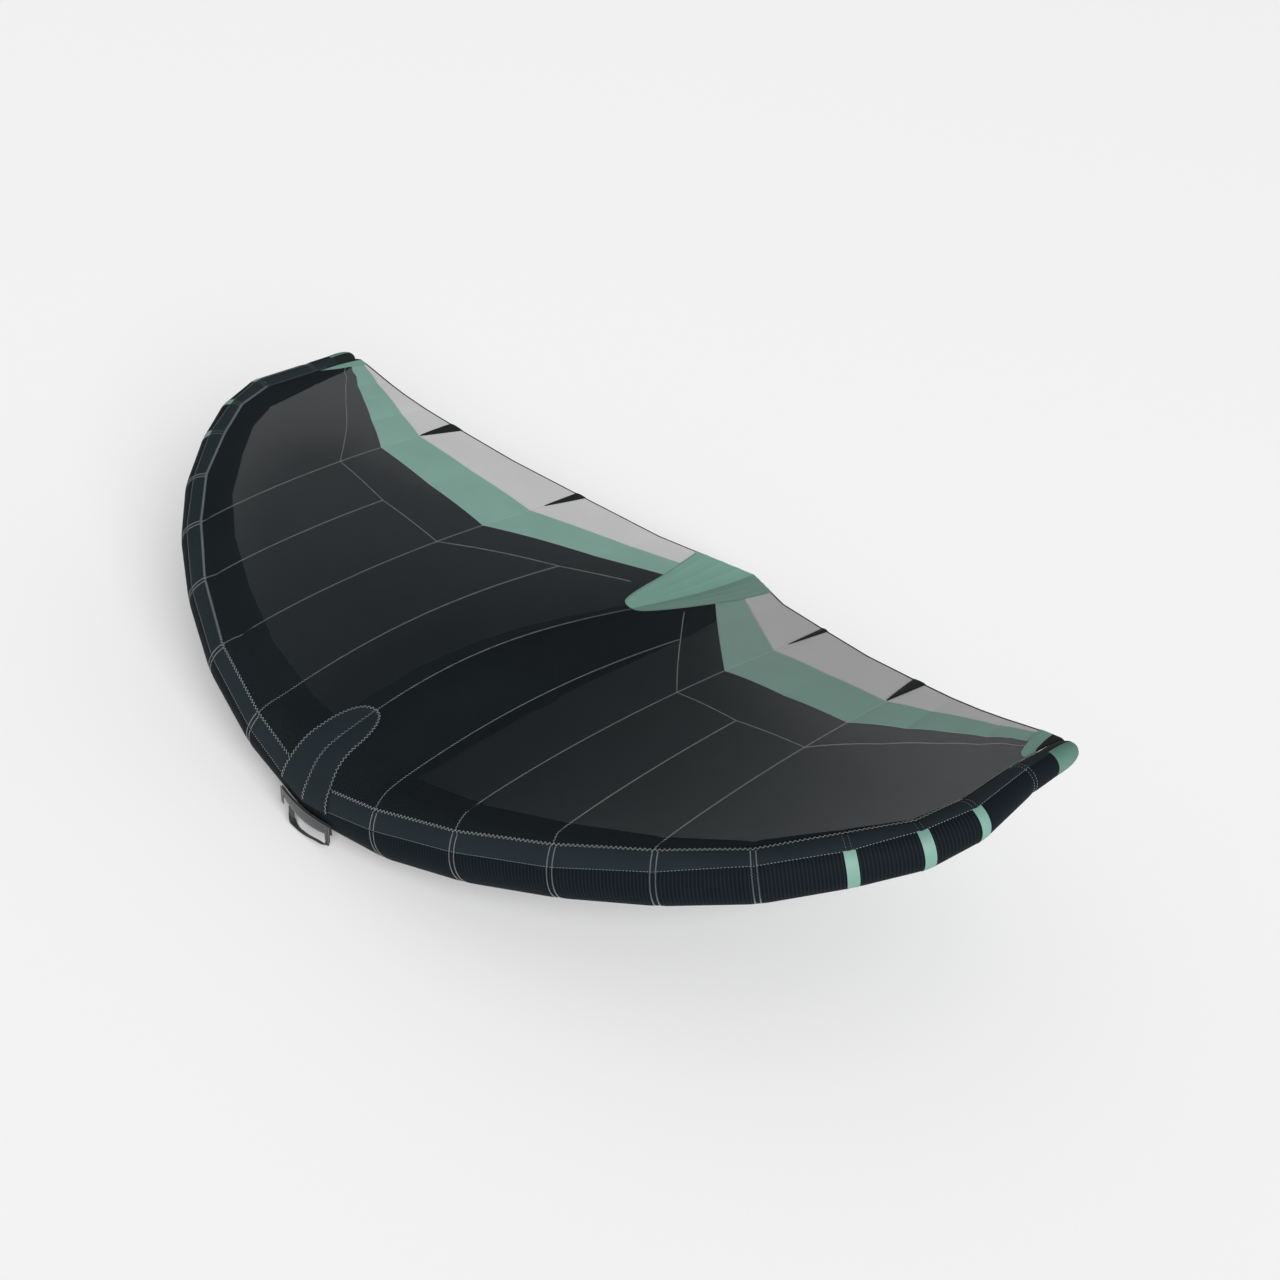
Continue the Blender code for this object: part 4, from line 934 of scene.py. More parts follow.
def end_rings(angles, sink, length, gap=0):
    """Rings of the right end of the tube, rounded off over a length that starts after a gap."""
    normal, _, _ = ring_frame(TIP_STATION)
    base = tube_centre(TIP_STATION)
    ring = [tube_point(TIP_STATION, a, -sink) for a in angles]
    return [
        [base + (point - base) * size + (gap + along * length) * normal for point in ring]
        for along, size in TIP_CAP_SHARES
    ]


def tube_end(side, word):
    """The rounded end of the tube, in teal cloth painted darker for shade."""
    skins = []
    for sink in (CASING_WALL, 0):
        rings = end_rings(round_angles(2 * TUBE_COLUMNS), sink + TUBE_SINK,
                          TIP_CAP_LENGTH - sink, SEAM_GAP / 2)
        skins.append([[side_of(point, side) for point in ring] for ring in rings])
    shape = Shape()
    shape.shell(*skins, end_cloth)
    shape.build(f"le_end_{word}", (SHADED_END_CLOTH, SLOT_CLOTH), "wing",
                (f"le_tip_cap_{word}",))


def end_cloth(_, column):
    """Black cloth on the inner side of the tube's end, where the canopy's corner is tied."""
    low, high = END_BLACK_ANGLES
    return 1 if low < 360 * (column + 0.5) / (2 * TUBE_COLUMNS) < high else 0


# Trim bands over the outer seams: half width, height, thickness and where they end behind
BAND_HALF = 0.015
BAND_LIFT = 0.0004
BAND_THICKNESS = 0.0008
BAND_BACK_ANGLE = -196


def band_place(station, across):
    """Station at a distance in metres across a seam, out towards the tip."""
    index = abs(station)
    width = panel_width(index if across > 0 else index - 1)
    return math.copysign(index + across / width, station)


def trim_band(station, name):
    """A teal band round the tube over a seam, from the front seam down and round the back."""
    angles = steps(FRONT_SEAM_ANGLES[abs(station)], BAND_BACK_ANGLE, 36)
    places = [band_place(station, across) for across in steps(-BAND_HALF, BAND_HALF, 6)]
    grids = (
        [[casing_point(place, angle, lift) for place in places] for angle in angles]
        for lift in (BAND_LIFT, BAND_LIFT + BAND_THICKNESS)
    )
    layered(name, grids, (TEAL_PATCH,))


# The long bladder lies this far inside the casing's outside, clear of the drawn-in seams
BLADDER_SINK = 0.0050
FILM_THICKNESS = 0.0008


def bladders():
    """The air bladders inside the leading edge and the strut."""
    angles = round_angles(36)
    half = [index / 2 for index in range(2 * TIP_STATION)]
    shape = Shape()
    for sink in (BLADDER_SINK, BLADDER_SINK + FILM_THICKNESS):
        right = [[tube_point(s, a, -sink) for a in angles] for s in half]
        right += end_rings(angles, sink, TIP_CAP_LENGTH - sink)
        left = [[side_of(point, -1) for point in ring] for ring in reversed(right[1:])]
        shape.loft(left + right)
    shape.build("long_bladder", (FILM,), "wing", ("le_bladder",))
    dress("strut_bladder", FILM)


def dress(node, made):
    """Gives a node of the model its finish."""
    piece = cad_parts[node]
    piece.data.materials.clear()
    piece.data.materials.append(made)


# The canopy

ARC_STEPS = 6
MAIN_STEPS = 22
BAND_STEPS = 5
# The tape on the trailing edge: how far in it reaches, and its section as rows of whether the
# point is at the edge, its height from the middle of the cloth, and its reach past the edge
TRIM_DEPTH = 0.007
TRIM_SECTION = (
    (False, 0.0006, 0), (True, 0.0008, 0.0004), (True, 0, 0.0010), (True, -0.0008, 0.0004),
    (False, -0.0006, 0),
)
# The canopy's front hem is turned down to this height over the casing
HEM_LIFT = 0.0003


# The main panels' columns lie closer together towards the tube
MAIN_SPREAD = 1.25


def canopy_shares(station):
    """Columns of the canopy, round the tube and then back to its edge."""
    inner = table_value(INNER_SHARES, station)
    dark = table_value(DARK_SHARES, station)
    light = table_value(LIGHT_SHARES, station)
    main = [inner * (step / MAIN_STEPS) ** MAIN_SPREAD for step in range(1, MAIN_STEPS + 1)]
    return (
        steps(-1, 0, ARC_STEPS) + main + steps(inner, dark, BAND_STEPS)[1:]
        + steps(dark, light, BAND_STEPS)[1:] + steps(light, 1, BAND_STEPS)[1:]
    )


def canopy_cloth(_, column):
    """Dark cloth up to the teal band, then teal, then light grey."""
    teal = ARC_STEPS + MAIN_STEPS + BAND_STEPS
    return 0 if column < teal else 1 if column < teal + BAND_STEPS else 2


def canopy():
    """The canopy: one continuous curved sheet from tip to tip."""
    half = tube_stations(0, TIP_STATION)
    stations = [-s for s in reversed(half[1:])] + half
    low, high = (
        [[canopy_point(s, share, lift) for share in canopy_shares(abs(s))] for s in stations]
        for lift in (CANOPY_LIFT, CANOPY_LIFT + CANOPY_THICKNESS)
    )
    for row, station in zip(low, stations):
        seam = table_value(SEAM_ANGLES, abs(station))
        row[0] = casing_point(station, seam, HEM_LIFT)
    names = [f"canopy_panel_{number}" for number in range(1, 6)]
    names += ["canopy_strip", "canopy_teal_band", "canopy_light_band"]
    replaced = [f"{name}_{word}" for name in names for word in ("left", "right")]
    piece = layered("canopy", (low, high), (RIPSTOP, TEAL, LIGHT), replaced,
                    pick=canopy_cloth)
    trailing_binding(stations)


def trailing_binding(stations):
    """The narrow folded tape round the trailing edge."""
    middle = CANOPY_LIFT + CANOPY_THICKNESS / 2
    rings = []
    for station in stations:
        inside = 1 - TRIM_DEPTH / chord_ends(abs(station))[2]
        edge = canopy_point(station, 1, CANOPY_LIFT)
        back = (edge - canopy_point(station, inside, CANOPY_LIFT)).normalized()
        rings.append([
            canopy_point(station, 1 if at_edge else inside, middle + rise) + back * reach
            for at_edge, rise, reach in TRIM_SECTION
        ])
    shape = Shape()
    shape.loft(rings)
    shape.build("trailing_binding", (SLOT_CLOTH,), "wing")


# Patches over the canopy

NOSE_PATCH_WIDTHS = (
    (-1.45, 0.37), (-1.22, 0.36), (-1.0, 0.35), (-0.75, 0.34), (-0.5, 0.325), (-0.25, 0.315),
    (0.0, 0.30), (0.020, 0.290), (0.035, 0.270), (0.050, 0.232), (0.060, 0.192), (0.067, 0.145),
    (0.071, 0.095), (0.073, 0.045),
)
NOSE_PATCH_SHARES = (
    -1.45, -1.3, -1.15, -1.0, -0.9, -0.8, -0.7, -0.6, -0.5, -0.4, -0.3, -0.2, -0.1, 0.0, 0.010,
    0.020, 0.030, 0.040, 0.050, 0.057, 0.063, 0.067, 0.070, 0.072, 0.073,
)
NOSE_FRONT_ANGLES = ((-1.45, -88), (-1.22, -75), (-1.0, -60))
TAIL_PATCH_WIDTHS = (
    (0.628, 0.030), (0.631, 0.075), (0.637, 0.118), (0.650, 0.165), (0.680, 0.225), (0.740, 0.315),
    (0.800, 0.385), (0.860, 0.460), (0.920, 0.530), (1.000, 0.610),
)
TAIL_PATCH_SHARES = (0.628, 0.6285, 0.630, 0.633, 0.638, 0.645, 0.655, 0.667, *steps(0.68, 1, 20))
# Folds of the tail patch: places across it, height, half width, and where they start and are full
TAIL_FOLDS = (-0.84, -0.56, -0.28, 0.28, 0.56, 0.84)
TAIL_FOLD_HEIGHT = 0.0014
TAIL_FOLD_HALF = 0.035
TAIL_FOLD_START = 0.66
TAIL_FOLD_GROWTH = 0.2


def patch_spot(station, share, lift):
    """Point over the canopy, or over the tube ahead of the canopy's front seam."""
    if share >= -1:
        return over_canopy(station, share, lift)
    angle = share_value(NOSE_FRONT_ANGLES, share)
    height = CANOPY_LIFT + CANOPY_THICKNESS + facet_rise(abs(station)) + lift
    return tube_point(station, angle, height)


def nose_patch():
    """The round-ended reinforcement over the middle of the leading edge."""
    across = steps(-1, 1, 20)
    grids = (
        [[patch_spot(a * eased_value(NOSE_PATCH_WIDTHS, share), share, lift) for a in across]
         for share in NOSE_PATCH_SHARES]
        for lift in (PATCH_LIFT, PATCH_LIFT + PATCH_THICKNESS)
    )
    layered("nose_reinforcement", grids, (DACRON,), ("nose_patch",))


def tail_fold(across, share):
    """Height of the folds that fan out over the tail patch to the trailing edge."""
    grown = min(max((share - TAIL_FOLD_START) / TAIL_FOLD_GROWTH, 0), 1)
    return sum(TAIL_FOLD_HEIGHT * grown * math.exp(-((across - fold) / TAIL_FOLD_HALF) ** 2)
               for fold in TAIL_FOLDS)


def tail_patch():
    """The arrow-shaped teal patch where the strut meets the trailing edge."""
    low, high = [], []
    for share in TAIL_PATCH_SHARES:
        width = eased_value(TAIL_PATCH_WIDTHS, share)
        across = steps(-1, 1, 60)
        low.append([over_canopy(a * width, share, PATCH_LIFT) for a in across])
        high.append([
            over_canopy(a * width, share, PATCH_LIFT + PATCH_THICKNESS + tail_fold(a, share))
            for a in across
        ])
    layered("tail_reinforcement", (low, high), (TEAL_PATCH,), ("tail_patch",))


# Corners of the canopy: share, and the stations where the teal and the black cloth begin
TIP_ROWS = {
    1: ((0.02, 9.55, 9.93), (0.10, 9.36, 9.85), (0.26, 9.03, 9.675), (0.44, 8.86, 9.57),
        (0.60, 8.79, 9.50), (0.75, 8.73, 9.455), (0.92, 8.75, 9.458), (1.00, 8.76, 9.46)),
    -1: ((0.02, 9.12, 9.78), (0.10, 9.06, 9.80), (0.26, 8.99, 9.84), (0.44, 8.95, 9.88),
         (0.60, 9.00, 9.91), (0.75, 9.03, 9.93), (0.88, 9.03, 9.95), (1.00, 9.20, 9.97)),
}
TIP_PATCH_STEPS = 8
# Height of the tip patches over the tube's end, and the part of the end's length they reach
TIP_TOUCH_LIFT = 0.0004
TIP_TOUCH_REACH = 0.94


def end_touch(edge, lift):
    """Place over the tube's rounded end, straight in from a point beside it."""
    normal, _, _ = ring_frame(TIP_STATION)
    base = tube_centre(TIP_STATION)
    along = min(max((edge - base).dot(normal), 0), TIP_CAP_LENGTH * TIP_TOUCH_REACH)
    axis = base + along * normal
    size = share_value(TIP_CAP_SHARES, along / TIP_CAP_LENGTH) * tube_radius(TIP_STATION)
    return axis + (edge - axis).normalized() * (size + lift)


def tip_row(side, stations, share, lift):
    """A row of a tip patch over the canopy's corner, run on to the tube's end."""
    edge = over_canopy(TIP_STATION, share, lift)
    touch = end_touch(edge, TIP_TOUCH_LIFT + lift - PATCH_LIFT)
    beyond = [side_of(lerp(edge, touch, step / 3), side) for step in (1, 2, 3)]
    return [over_canopy(side * s, share, lift) for s in stations] + beyond


def tip_patches():
    """The teal and black patches that join the canopy's corners to the tube's ends."""
    for side, word in SIDES:
        rows = TIP_ROWS[side]
        low, high = [], []
        for share in steps(rows[0][0], 1, 24):
            teal = eased_value([(row[0], row[1]) for row in rows], share)
            black = eased_value([(row[0], row[2]) for row in rows], share)
            stations = steps(teal, black, TIP_PATCH_STEPS)
            stations += steps(black, TIP_STATION, TIP_PATCH_STEPS)[1:]
            low.append(tip_row(side, stations, share, PATCH_LIFT))
            high.append(tip_row(side, stations, share, PATCH_LIFT + PATCH_THICKNESS))
        layered(f"tip_reinforcement_{word}", (low, high), (TEAL_PATCH, SLOT_CLOTH),
                (f"tip_patch_{word}",), pick=lambda _, column: int(column >= TIP_PATCH_STEPS))


# Pockets of the battens: station, where each starts, and how far it reaches to both sides; then
# the share of that width at its front point, and how fast it widens
POCKETS = ((2, 0.866, -0.021, 0.021), (4, 0.838, -0.027, 0.029))
POCKET_POINT = 0.06
POCKET_POWER = 0.85
POCKET_ROWS = (0.0, 0.03, 0.08, 0.16, 0.26, 0.38, 0.5, 0.62, 0.74, 0.86, 0.95, 1.0)
POCKET_RISE = 0.0030
POCKET_CLOTH = 0.0008
# The pocket's underside lies this much closer to the canopy than its rise
POCKET_HOLLOW = 0.0002


def batten_pockets():
    """The narrow dark pockets at the trailing edge, each over its batten."""
    for number, (station, start, left, right) in enumerate(POCKETS, start=1):
        spacing = 0.5 * (trailing_end(station + 1) - trailing_end(station - 1)).length
        for side, word in SIDES:
            low, high = [], []
            for along in POCKET_ROWS:
                share = lerp(start, 1, along)
                size = lerp(POCKET_POINT, 1, along ** POCKET_POWER)
                under, over = [], []
                for across in steps(-1, 1, 10):
                    reach = (right if across > 0 else -left) * size
                    place = side * (station + across * reach / spacing)
                    rise = POCKET_RISE * (1 - across * across) * min(along * 4, 1)
                    inner = PATCH_LIFT + max(rise - POCKET_HOLLOW, 0)
                    under.append(over_canopy(place, share, inner))
                    over.append(over_canopy(place, share, PATCH_LIFT + POCKET_CLOTH + rise))
                low.append(under)
                high.append(over)
            layered(f"pocket_{number}_{word}", (low, high), (SLOT_CLOTH,),
                    (f"batten_pocket_{number}_{word}",))
            dress(f"batten_{number}_{word}", GLASS_ROD)


# The strut

STRUT_BELLY = 180
STRUT_MOUTH_END = 0.40


def strut():
    """The sewn strut, its mouth cut to lie against the leading edge."""
    angles = round_angles(STRUT_COLUMNS)
    rear = [share * CENTRE_LENGTH for share, _ in STRUT_SHARES]
    backs = steps(STRUT_MOUTH_END, rear[7], 46)[1:] + rear[8:]
    skins = []
    for lift in (-CASING_WALL, 0):
        mouth = [strut_mouth(a, lift) for a in angles]
        rows = [
            [strut_point(lerp(m, STRUT_MOUTH_END, share), a, lift) for a, m in zip(angles, mouth)]
            for share in steps(0, 1, 10)
        ]
        rows += [[strut_point(back, a, lift) for a in angles] for back in backs]
        rows[-1] = [point + Vector((0, lift, 0)) for point in rows[-1]]
        skins.append(rows)
    shape = Shape()
    shape.shell(*skins)
    shape.build("strut", (DACRON,), "wing", ("strut_casing",))


# The strut's handles, as the model has them: lines they swing about, and the way down to the grip
HANDLE_LINES = (
    (Vector((0, 0.35575, -0.07612)), Vector((0, 0.52575, -0.06696))),
    (Vector((0, 0.89325, -0.06333)), Vector((0, 1.06325, -0.07326))),
)
HANDLE_DROP = 0.056
HANDLE_ROOT_RADIUS = 0.0045
HANDLE_WEB = (0.0130, 0.0024)
HANDLE_ROOT_HALF = 0.0032
HANDLE_BOW = 0.0014
GRIP_HALF = (0.0150, 0.0065)
# The webbing thickens by this much towards its narrow roots
HANDLE_ROOT_GAIN = 0.0003
# The grip runs on past the webbing's full width, keeps its size to a part of its half length, and
# is narrowed and thinned from there
GRIP_OVERLAP = 0.004
GRIP_FULL_TO = 0.90
GRIP_PULL = 0.75
# Where the long patches on the strut's belly reach past a handle, how they are rounded off, half
# their width in degrees, and the heights of their two faces over the strut
HANDLE_PATCH_REACH = 0.045
HANDLE_PATCH_ROUND = 0.016
HANDLE_PATCH_HALF_ANGLE = 21
PATCH_FOOT = 0.0003
PATCH_TOP = 0.0013
HANDLE_PATH = (
    (-0.059, 0.00, 0.24), (0.000, 0.00, 0.24), (0.030, 0.06, 0.30), (0.045, 0.24, 0.62),
    (0.060, 0.50, 1.00), (0.095, 0.80, 1.00), (0.155, 0.96, 1.00), (0.21, 1.00, 1.00),
)


def curve_point(before, start, end, after, share):
    """A point on the smooth curve through four neighbouring points."""
    square = share * share
    cube = square * share
    return (
        start * 2
        + (end - before) * share
        + (before * 2 - start * 5 + end * 4 - after) * square
        + (start * 3 - before - end * 3 + after) * cube
    ) / 2


def smooth_path(points, count):
    """Points of a smooth curve through a row of points or numbers."""
    path = []
    last = len(points) - 1
    for index in range(last):
        near = (points[max(index - 1, 0)], points[index],
                points[index + 1], points[min(index + 2, last)])
        path += [curve_point(*near, step / count) for step in range(count)]
    return path + [points[-1]]


def strap_section(wide, thick, power, count):
    """Points of a rounded strap or grip section, squarer as the power grows."""
    points = []
    for step in range(count):
        turn = math.tau * (step + 0.5) / count
        c, s = math.cos(turn), math.sin(turn)
        points.append((
            math.copysign(abs(c) ** (2 / power), c) * wide,
            math.copysign(abs(s) ** (2 / power), s) * thick,
        ))
    return points


def swept(shape, path, widths, sizes, power=5, count=20):
    """A strap or grip along a path, with its width direction and its size at each point."""
    if isinstance(widths, Vector):
        widths = [widths] * len(path)
    rings = []
    for index, point in enumerate(path):
        before = path[max(index - 1, 0)]
        after = path[min(index + 1, len(path) - 1)]
        along = (after - before).normalized()
        wide = (widths[index] - widths[index].dot(along) * along).normalized()
        thick = wide.cross(along)
        rings.append([
            point + a * wide + b * thick
            for a, b in strap_section(*sizes[index], power, count)
        ])
    shape.loft(rings)


def plumpness(share, full_to, pull):
    """How full a grip still is at a share of its half length, drawn in by a pull at its end."""
    edge = max(abs(share) - full_to, 0) / (1 - full_to)
    return math.sqrt(max(1 - edge * edge * pull, 0.05))


def strut_handles():
    """Two padded loop handles under the strut, each hung from a sewn patch."""
    for word, (front, rear) in zip(("front", "rear"), HANDLE_LINES):
        handle_patch(word, front, rear)
        along = (rear - front).normalized()
        down = Vector((1, 0, 0)).cross(along)
        down = -down if down.z > 0 else down
        length = (rear - front).length
        drop = HANDLE_DROP - GRIP_HALF[1] - HANDLE_ROOT_RADIUS
        half = [(share * length, fall * drop, size) for share, fall, size in HANDLE_PATH]
        rows = half + [(length / 2, drop + HANDLE_BOW, 1.0)]
        rows += [(length - run, fall, size) for run, fall, size in reversed(half)]
        path = smooth_path([front + run * along + fall * down for run, fall, _ in rows], 4)
        sizes = smooth_path([Vector((size, 0, 0)) for _, _, size in rows], 4)
        sizes = [(max(HANDLE_WEB[0] * s.x, HANDLE_ROOT_HALF),
                  HANDLE_WEB[1] + HANDLE_ROOT_GAIN * max(0, 1 - s.x)) for s in sizes]
        shape = Shape()
        swept(shape, path, Vector((1, 0, 0)), sizes)
        body = f"strut_handle_{word}"
        shape.build(f"handle_webbing_{word}", (GREY_WEBBING,), body, (body,))
        reach = (0.5 - HANDLE_PATH[-1][0]) * length + GRIP_OVERLAP
        handle_grip(word, (front + rear) / 2, reach * along, down, drop)


def handle_grip(word, middle, reach, down, drop):
    """The knitted grip round a handle's webbing, with its two rows of stitches."""
    wide = Vector((1, 0, 0))
    path, sizes = [], []
    for share in steps(-1, 1, 28):
        plump = plumpness(share, GRIP_FULL_TO, GRIP_PULL)
        path.append(middle + share * reach + (drop + HANDLE_BOW * (1 - share * share)) * down)
        sizes.append((GRIP_HALF[0] * (0.86 + 0.14 * plump), GRIP_HALF[1] * plump))
    shape = Shape()
    swept(shape, path, wide, sizes, 2.6, 28)
    body = f"strut_handle_{word}"
    grip = shape.build(f"handle_grip_{word}", (GRIP_CLOTH,), body)
    stitches = Shape()
    for edge in (-0.55, 0.55):
        line = [(point + size[1] * down * 0.92 + edge * size[0] * wide, down)
                for point, size in list(zip(path, sizes))[3:-3]]
        sew(stitches, line, 0, DASH_PITCH, GRIP_THREAD_WIDTH)
    stitches.build(f"handle_stitching_{word}", (THREAD,), body)


def handle_patch(word, front, rear):
    """A long patch along the strut's belly that a handle is sewn to."""
    start = front.y - HANDLE_PATCH_REACH
    end = rear.y + HANDLE_PATCH_REACH
    backs = [start, start + 0.002, start + 0.006, start + 0.012]
    backs += steps(start + 0.02, end - 0.02, 24)
    backs += [end - 0.012, end - 0.006, end - 0.002, end]
    low, high = [], []
    for back in backs:
        near = min(back - start, end - back)
        round_off = math.sqrt(max(1 - max(1 - near / HANDLE_PATCH_ROUND, 0) ** 2, 0.10))
        spread = [STRUT_BELLY + HANDLE_PATCH_HALF_ANGLE * round_off * a for a in steps(-1, 1, 14)]
        low.append([strut_point(back, a, PATCH_FOOT) for a in spread])
        high.append([strut_point(back, a, PATCH_TOP) for a in spread])
    layered(f"handle_patch_cloth_{word}", (low, high), (PATCH,),
            (f"handle_patch_{word}",))


# The front handle and the leash loop, as the model has them
FRONT_REACH = 0.119
FRONT_HINGE = Vector((0, 0.01436, -0.018))
FRONT_BOW = 0.013
PAD_DEPTHS = (0.052, 0.034)
PAD_THICKNESS = 0.009
STRAP_DEPTH = 0.020
STRAP_THICKNESS = 0.0018
STRAP_CLEARANCE = 0.0004
# The pad keeps its size to a part of its half length, is thinned from there, and fills nearly
# all of the model's thickness
PAD_FULL_TO = 0.93
PAD_PULL = 0.8
PAD_FILL = 0.96
TAB_WIDTH = 0.018
TAB_LENGTH = 0.060
# Rows of stitches lie this far in from the webbing's edges, and at these depths down the pad
STITCH_INSET = 0.003
PAD_ROWS = (0.030, 0.042)
LOOP_ENDS = (Vector((-0.064, 0.00512, -0.0670)), Vector((0.110, 0.00512, -0.0784)))
LOOP_WIDTH = 0.025
LOOP_THICKNESS = 0.0030
LOOP_DROP = 0.056
LOOP_TILT = 0.6
LOOP_NARROWING = 0.3
LOOP_SHARES = (
    (0.000, 0.000, 0.0, 1.00),
    (0.000, 0.330, 0.0, 1.00),
    (0.006, 0.660, 20.0, 1.00),
    (0.063, 0.930, 55.0, 1.00),
    (0.195, 1.030, 90.0, 1.00),
    (0.425, 0.910, 90.0, 1.00),
    (0.684, 0.610, 90.0, 1.00),
    (0.891, 0.410, 80.0, 0.90),
    (0.991, 0.200, 40.0, 0.70),
    (1.000, 0.000, 5.0, 0.55),
)


def front_bow(across):
    """Place on the front handle's bow at a distance from the centre line."""
    share = across / FRONT_REACH
    return FRONT_HINGE + Vector((across, -FRONT_BOW * (1 - share * share), 0))


def pad_depth(across):
    """Depth of the front grip at a distance from the centre line."""
    return lerp(PAD_DEPTHS[0], PAD_DEPTHS[1], (across / FRONT_REACH) ** 2)


def front_handle():
    """The padded grip across the nose, with its webbing and the tabs at its ends."""
    path, sizes = [], []
    for share in steps(-1, 1, 32):
        depth = lerp(PAD_DEPTHS[0], PAD_DEPTHS[1], share * share)
        plump = plumpness(share, PAD_FULL_TO, PAD_PULL)
        path.append(front_bow(share * FRONT_REACH) - Vector((0, 0, depth / 2)))
        sizes.append((depth / 2, PAD_THICKNESS / 2 * plump * PAD_FILL))
    shape = Shape()
    swept(shape, path, Vector((0, 0, 1)), sizes, 2.8, 28)
    pad = shape.build("front_grip", (GRIP_CLOTH,), "front_handle",
                      ("front_handle_pad",))
    forward = (PAD_THICKNESS + STRAP_THICKNESS) / 2 + STRAP_CLEARANCE
    inside = FRONT_REACH - TAB_WIDTH
    columns = [(x, TAB_LENGTH) for x in steps(-FRONT_REACH, -inside, 6)]
    columns += [(x, STRAP_DEPTH) for x in steps(-inside + 0.001, inside - 0.001, 36)]
    columns += [(x, TAB_LENGTH) for x in steps(inside, FRONT_REACH, 6)]
    grids = (
        [[front_bow(x) + Vector((0, shift - forward, -depth * share)) for share in steps(0, 1, 8)]
         for x, depth in columns]
        for shift in (-STRAP_THICKNESS / 2, STRAP_THICKNESS / 2)
    )
    layered("front_webbing", grids, (GREY_WEBBING,), ("front_handle_strap",),
            "front_handle")
    front_stitching(forward + STRAP_THICKNESS / 2, inside)


def front_stitching(face, inside):
    """Stitches along the front webbing, down its tabs and along the pad under it."""
    edges = (inside + STITCH_INSET, FRONT_REACH - STITCH_INSET)
    rows = [[(x, face, depth) for x in steps(-0.1, 0.1, 20)]
            for depth in (STITCH_INSET, STRAP_DEPTH - STITCH_INSET)]
    rows += [[(side * x, face, z) for z in steps(0.004, 0.056, 6)]
             for side in (-1, 1) for x in edges]
    rows += [[(x, PAD_THICKNESS * 0.47, depth * pad_depth(x) / PAD_DEPTHS[0])
              for x in steps(-0.098, 0.098, 24)] for depth in PAD_ROWS]
    shape = Shape()
    for row in rows:
        line = [(front_bow(x) - Vector((0, ahead, fall)), Vector((0, -1, 0)))
                for x, ahead, fall in row]
        sew(shape, line, 0, SMALL_PITCH, SMALL_WIDTH)
    shape.build("front_stitching", (THREAD,), "front_handle")


def leash_loop():
    """The black webbing loop that a leash ties to, hanging from the front handle."""
    left, right = LOOP_ENDS
    guide = [lerp(left, right, along) - Vector((0, 0, fall * LOOP_DROP))
             for along, fall, _, _ in LOOP_SHARES]
    path = smooth_path(guide, 6)
    turns = smooth_path([Vector((turn, size, 0)) for _, _, turn, size in LOOP_SHARES], 6)
    widths, sizes = [], []
    for turn in turns:
        side, back = math.cos(math.radians(turn.x)), math.sin(math.radians(turn.x))
        widths.append(Vector((side, back, -LOOP_TILT * back)))
        sizes.append(((1 - LOOP_NARROWING * back) * turn.y * LOOP_WIDTH / 2, LOOP_THICKNESS / 2))
    for end in (0, -1):
        sizes[end] = (sizes[end][0], sizes[end][1] * 0.4)
    shape = Shape()
    swept(shape, path, widths, sizes, 6, 20)
    shape.build("leash_webbing", (BLACK_WEBBING,), "leash_loop", ("leash_loop",))


# The inflation valve, as the model has it
VALVE_CENTRE = Vector((0.21631, 0.25691, 0.05989))
VALVE_AXIS = Vector((0.0220, 0.9912, 0.1305)).normalized()
# The housing's section as (radius, distance out), with the screw thread between its two parts
FLANGE_PROFILE = (
    (0.0100, -0.0120), (0.0140, -0.0120), (0.0140, 0.0003), (0.0216, 0.0003), (0.0220, 0.0007),
    (0.0220, 0.0022), (0.0214, 0.0028), (0.0181, 0.0028), (0.0176, 0.0033), (0.0164, 0.0038),
)
SCREW_STARTS = (0.0044, 0.0066, 0.0088)
SCREW_PROFILE = ((0.0164, 0), (0.0170, 0.0005), (0.0170, 0.0011), (0.0164, 0.0016))
RIM_PROFILE = ((0.0166, 0.0112), (0.0160, 0.0118), (0.0110, 0.0118), (0.0100, 0.0108))
# The cap's section from its lower face, and how deep its grips are cut
LID_START = 0.0118 + SEAM_GAP
LID_PROFILE = (
    (0.0005, 0), (0.0166, 0), (0.0170, 0.0004), (0.0170, 0.0026), (0.0160, 0.0040),
    (0.0105, 0.0040), (0.0098, 0.0034), (0.0005, 0.0034),
)
LID_GRIP_DEPTH = 0.0006


def turned(shape, profile, sides, notch=None):
    """A ring turned about the valve's axis through (radius, distance) points, closed."""
    across = VALVE_AXIS.cross(Vector((0, 0, 1))).normalized()
    up = across.cross(VALVE_AXIS)
    rings = []
    for number, (radius, along) in enumerate(profile):
        ring = []
        for step in range(sides):
            turn = math.tau * step / sides
            size = radius + (notch(number, step) if notch else 0)
            ring.append(VALVE_CENTRE + along * VALVE_AXIS
                        + size * (math.cos(turn) * across + math.sin(turn) * up))
        rings.append(ring)
    shape.grid(rings + [rings[0]], True)


def lid_grips(number, step):
    """Notches round the cap's outer wall, to grip it by."""
    return -LID_GRIP_DEPTH if number in (2, 3) and step % 4 < 2 else 0


def valve():
    """The flanged valve at the back of the nose, with its screw thread, and its hinged cap."""
    screw = [(radius, start + along) for start in SCREW_STARTS for radius, along in SCREW_PROFILE]
    shape = Shape()
    turned(shape, [*FLANGE_PROFILE, *screw, *RIM_PROFILE], 64)
    shape.build("valve_housing", (NYLON,), "wing", ("valve_body",), MOULDED_ANGLE)
    lid = Shape()
    turned(lid, [(radius, LID_START + along) for radius, along in LID_PROFILE], 96, lid_grips)
    lid.build("valve_lid", (NYLON,), "valve_cap", ("valve_cap",), MOULDED_ANGLE)


# Stitching

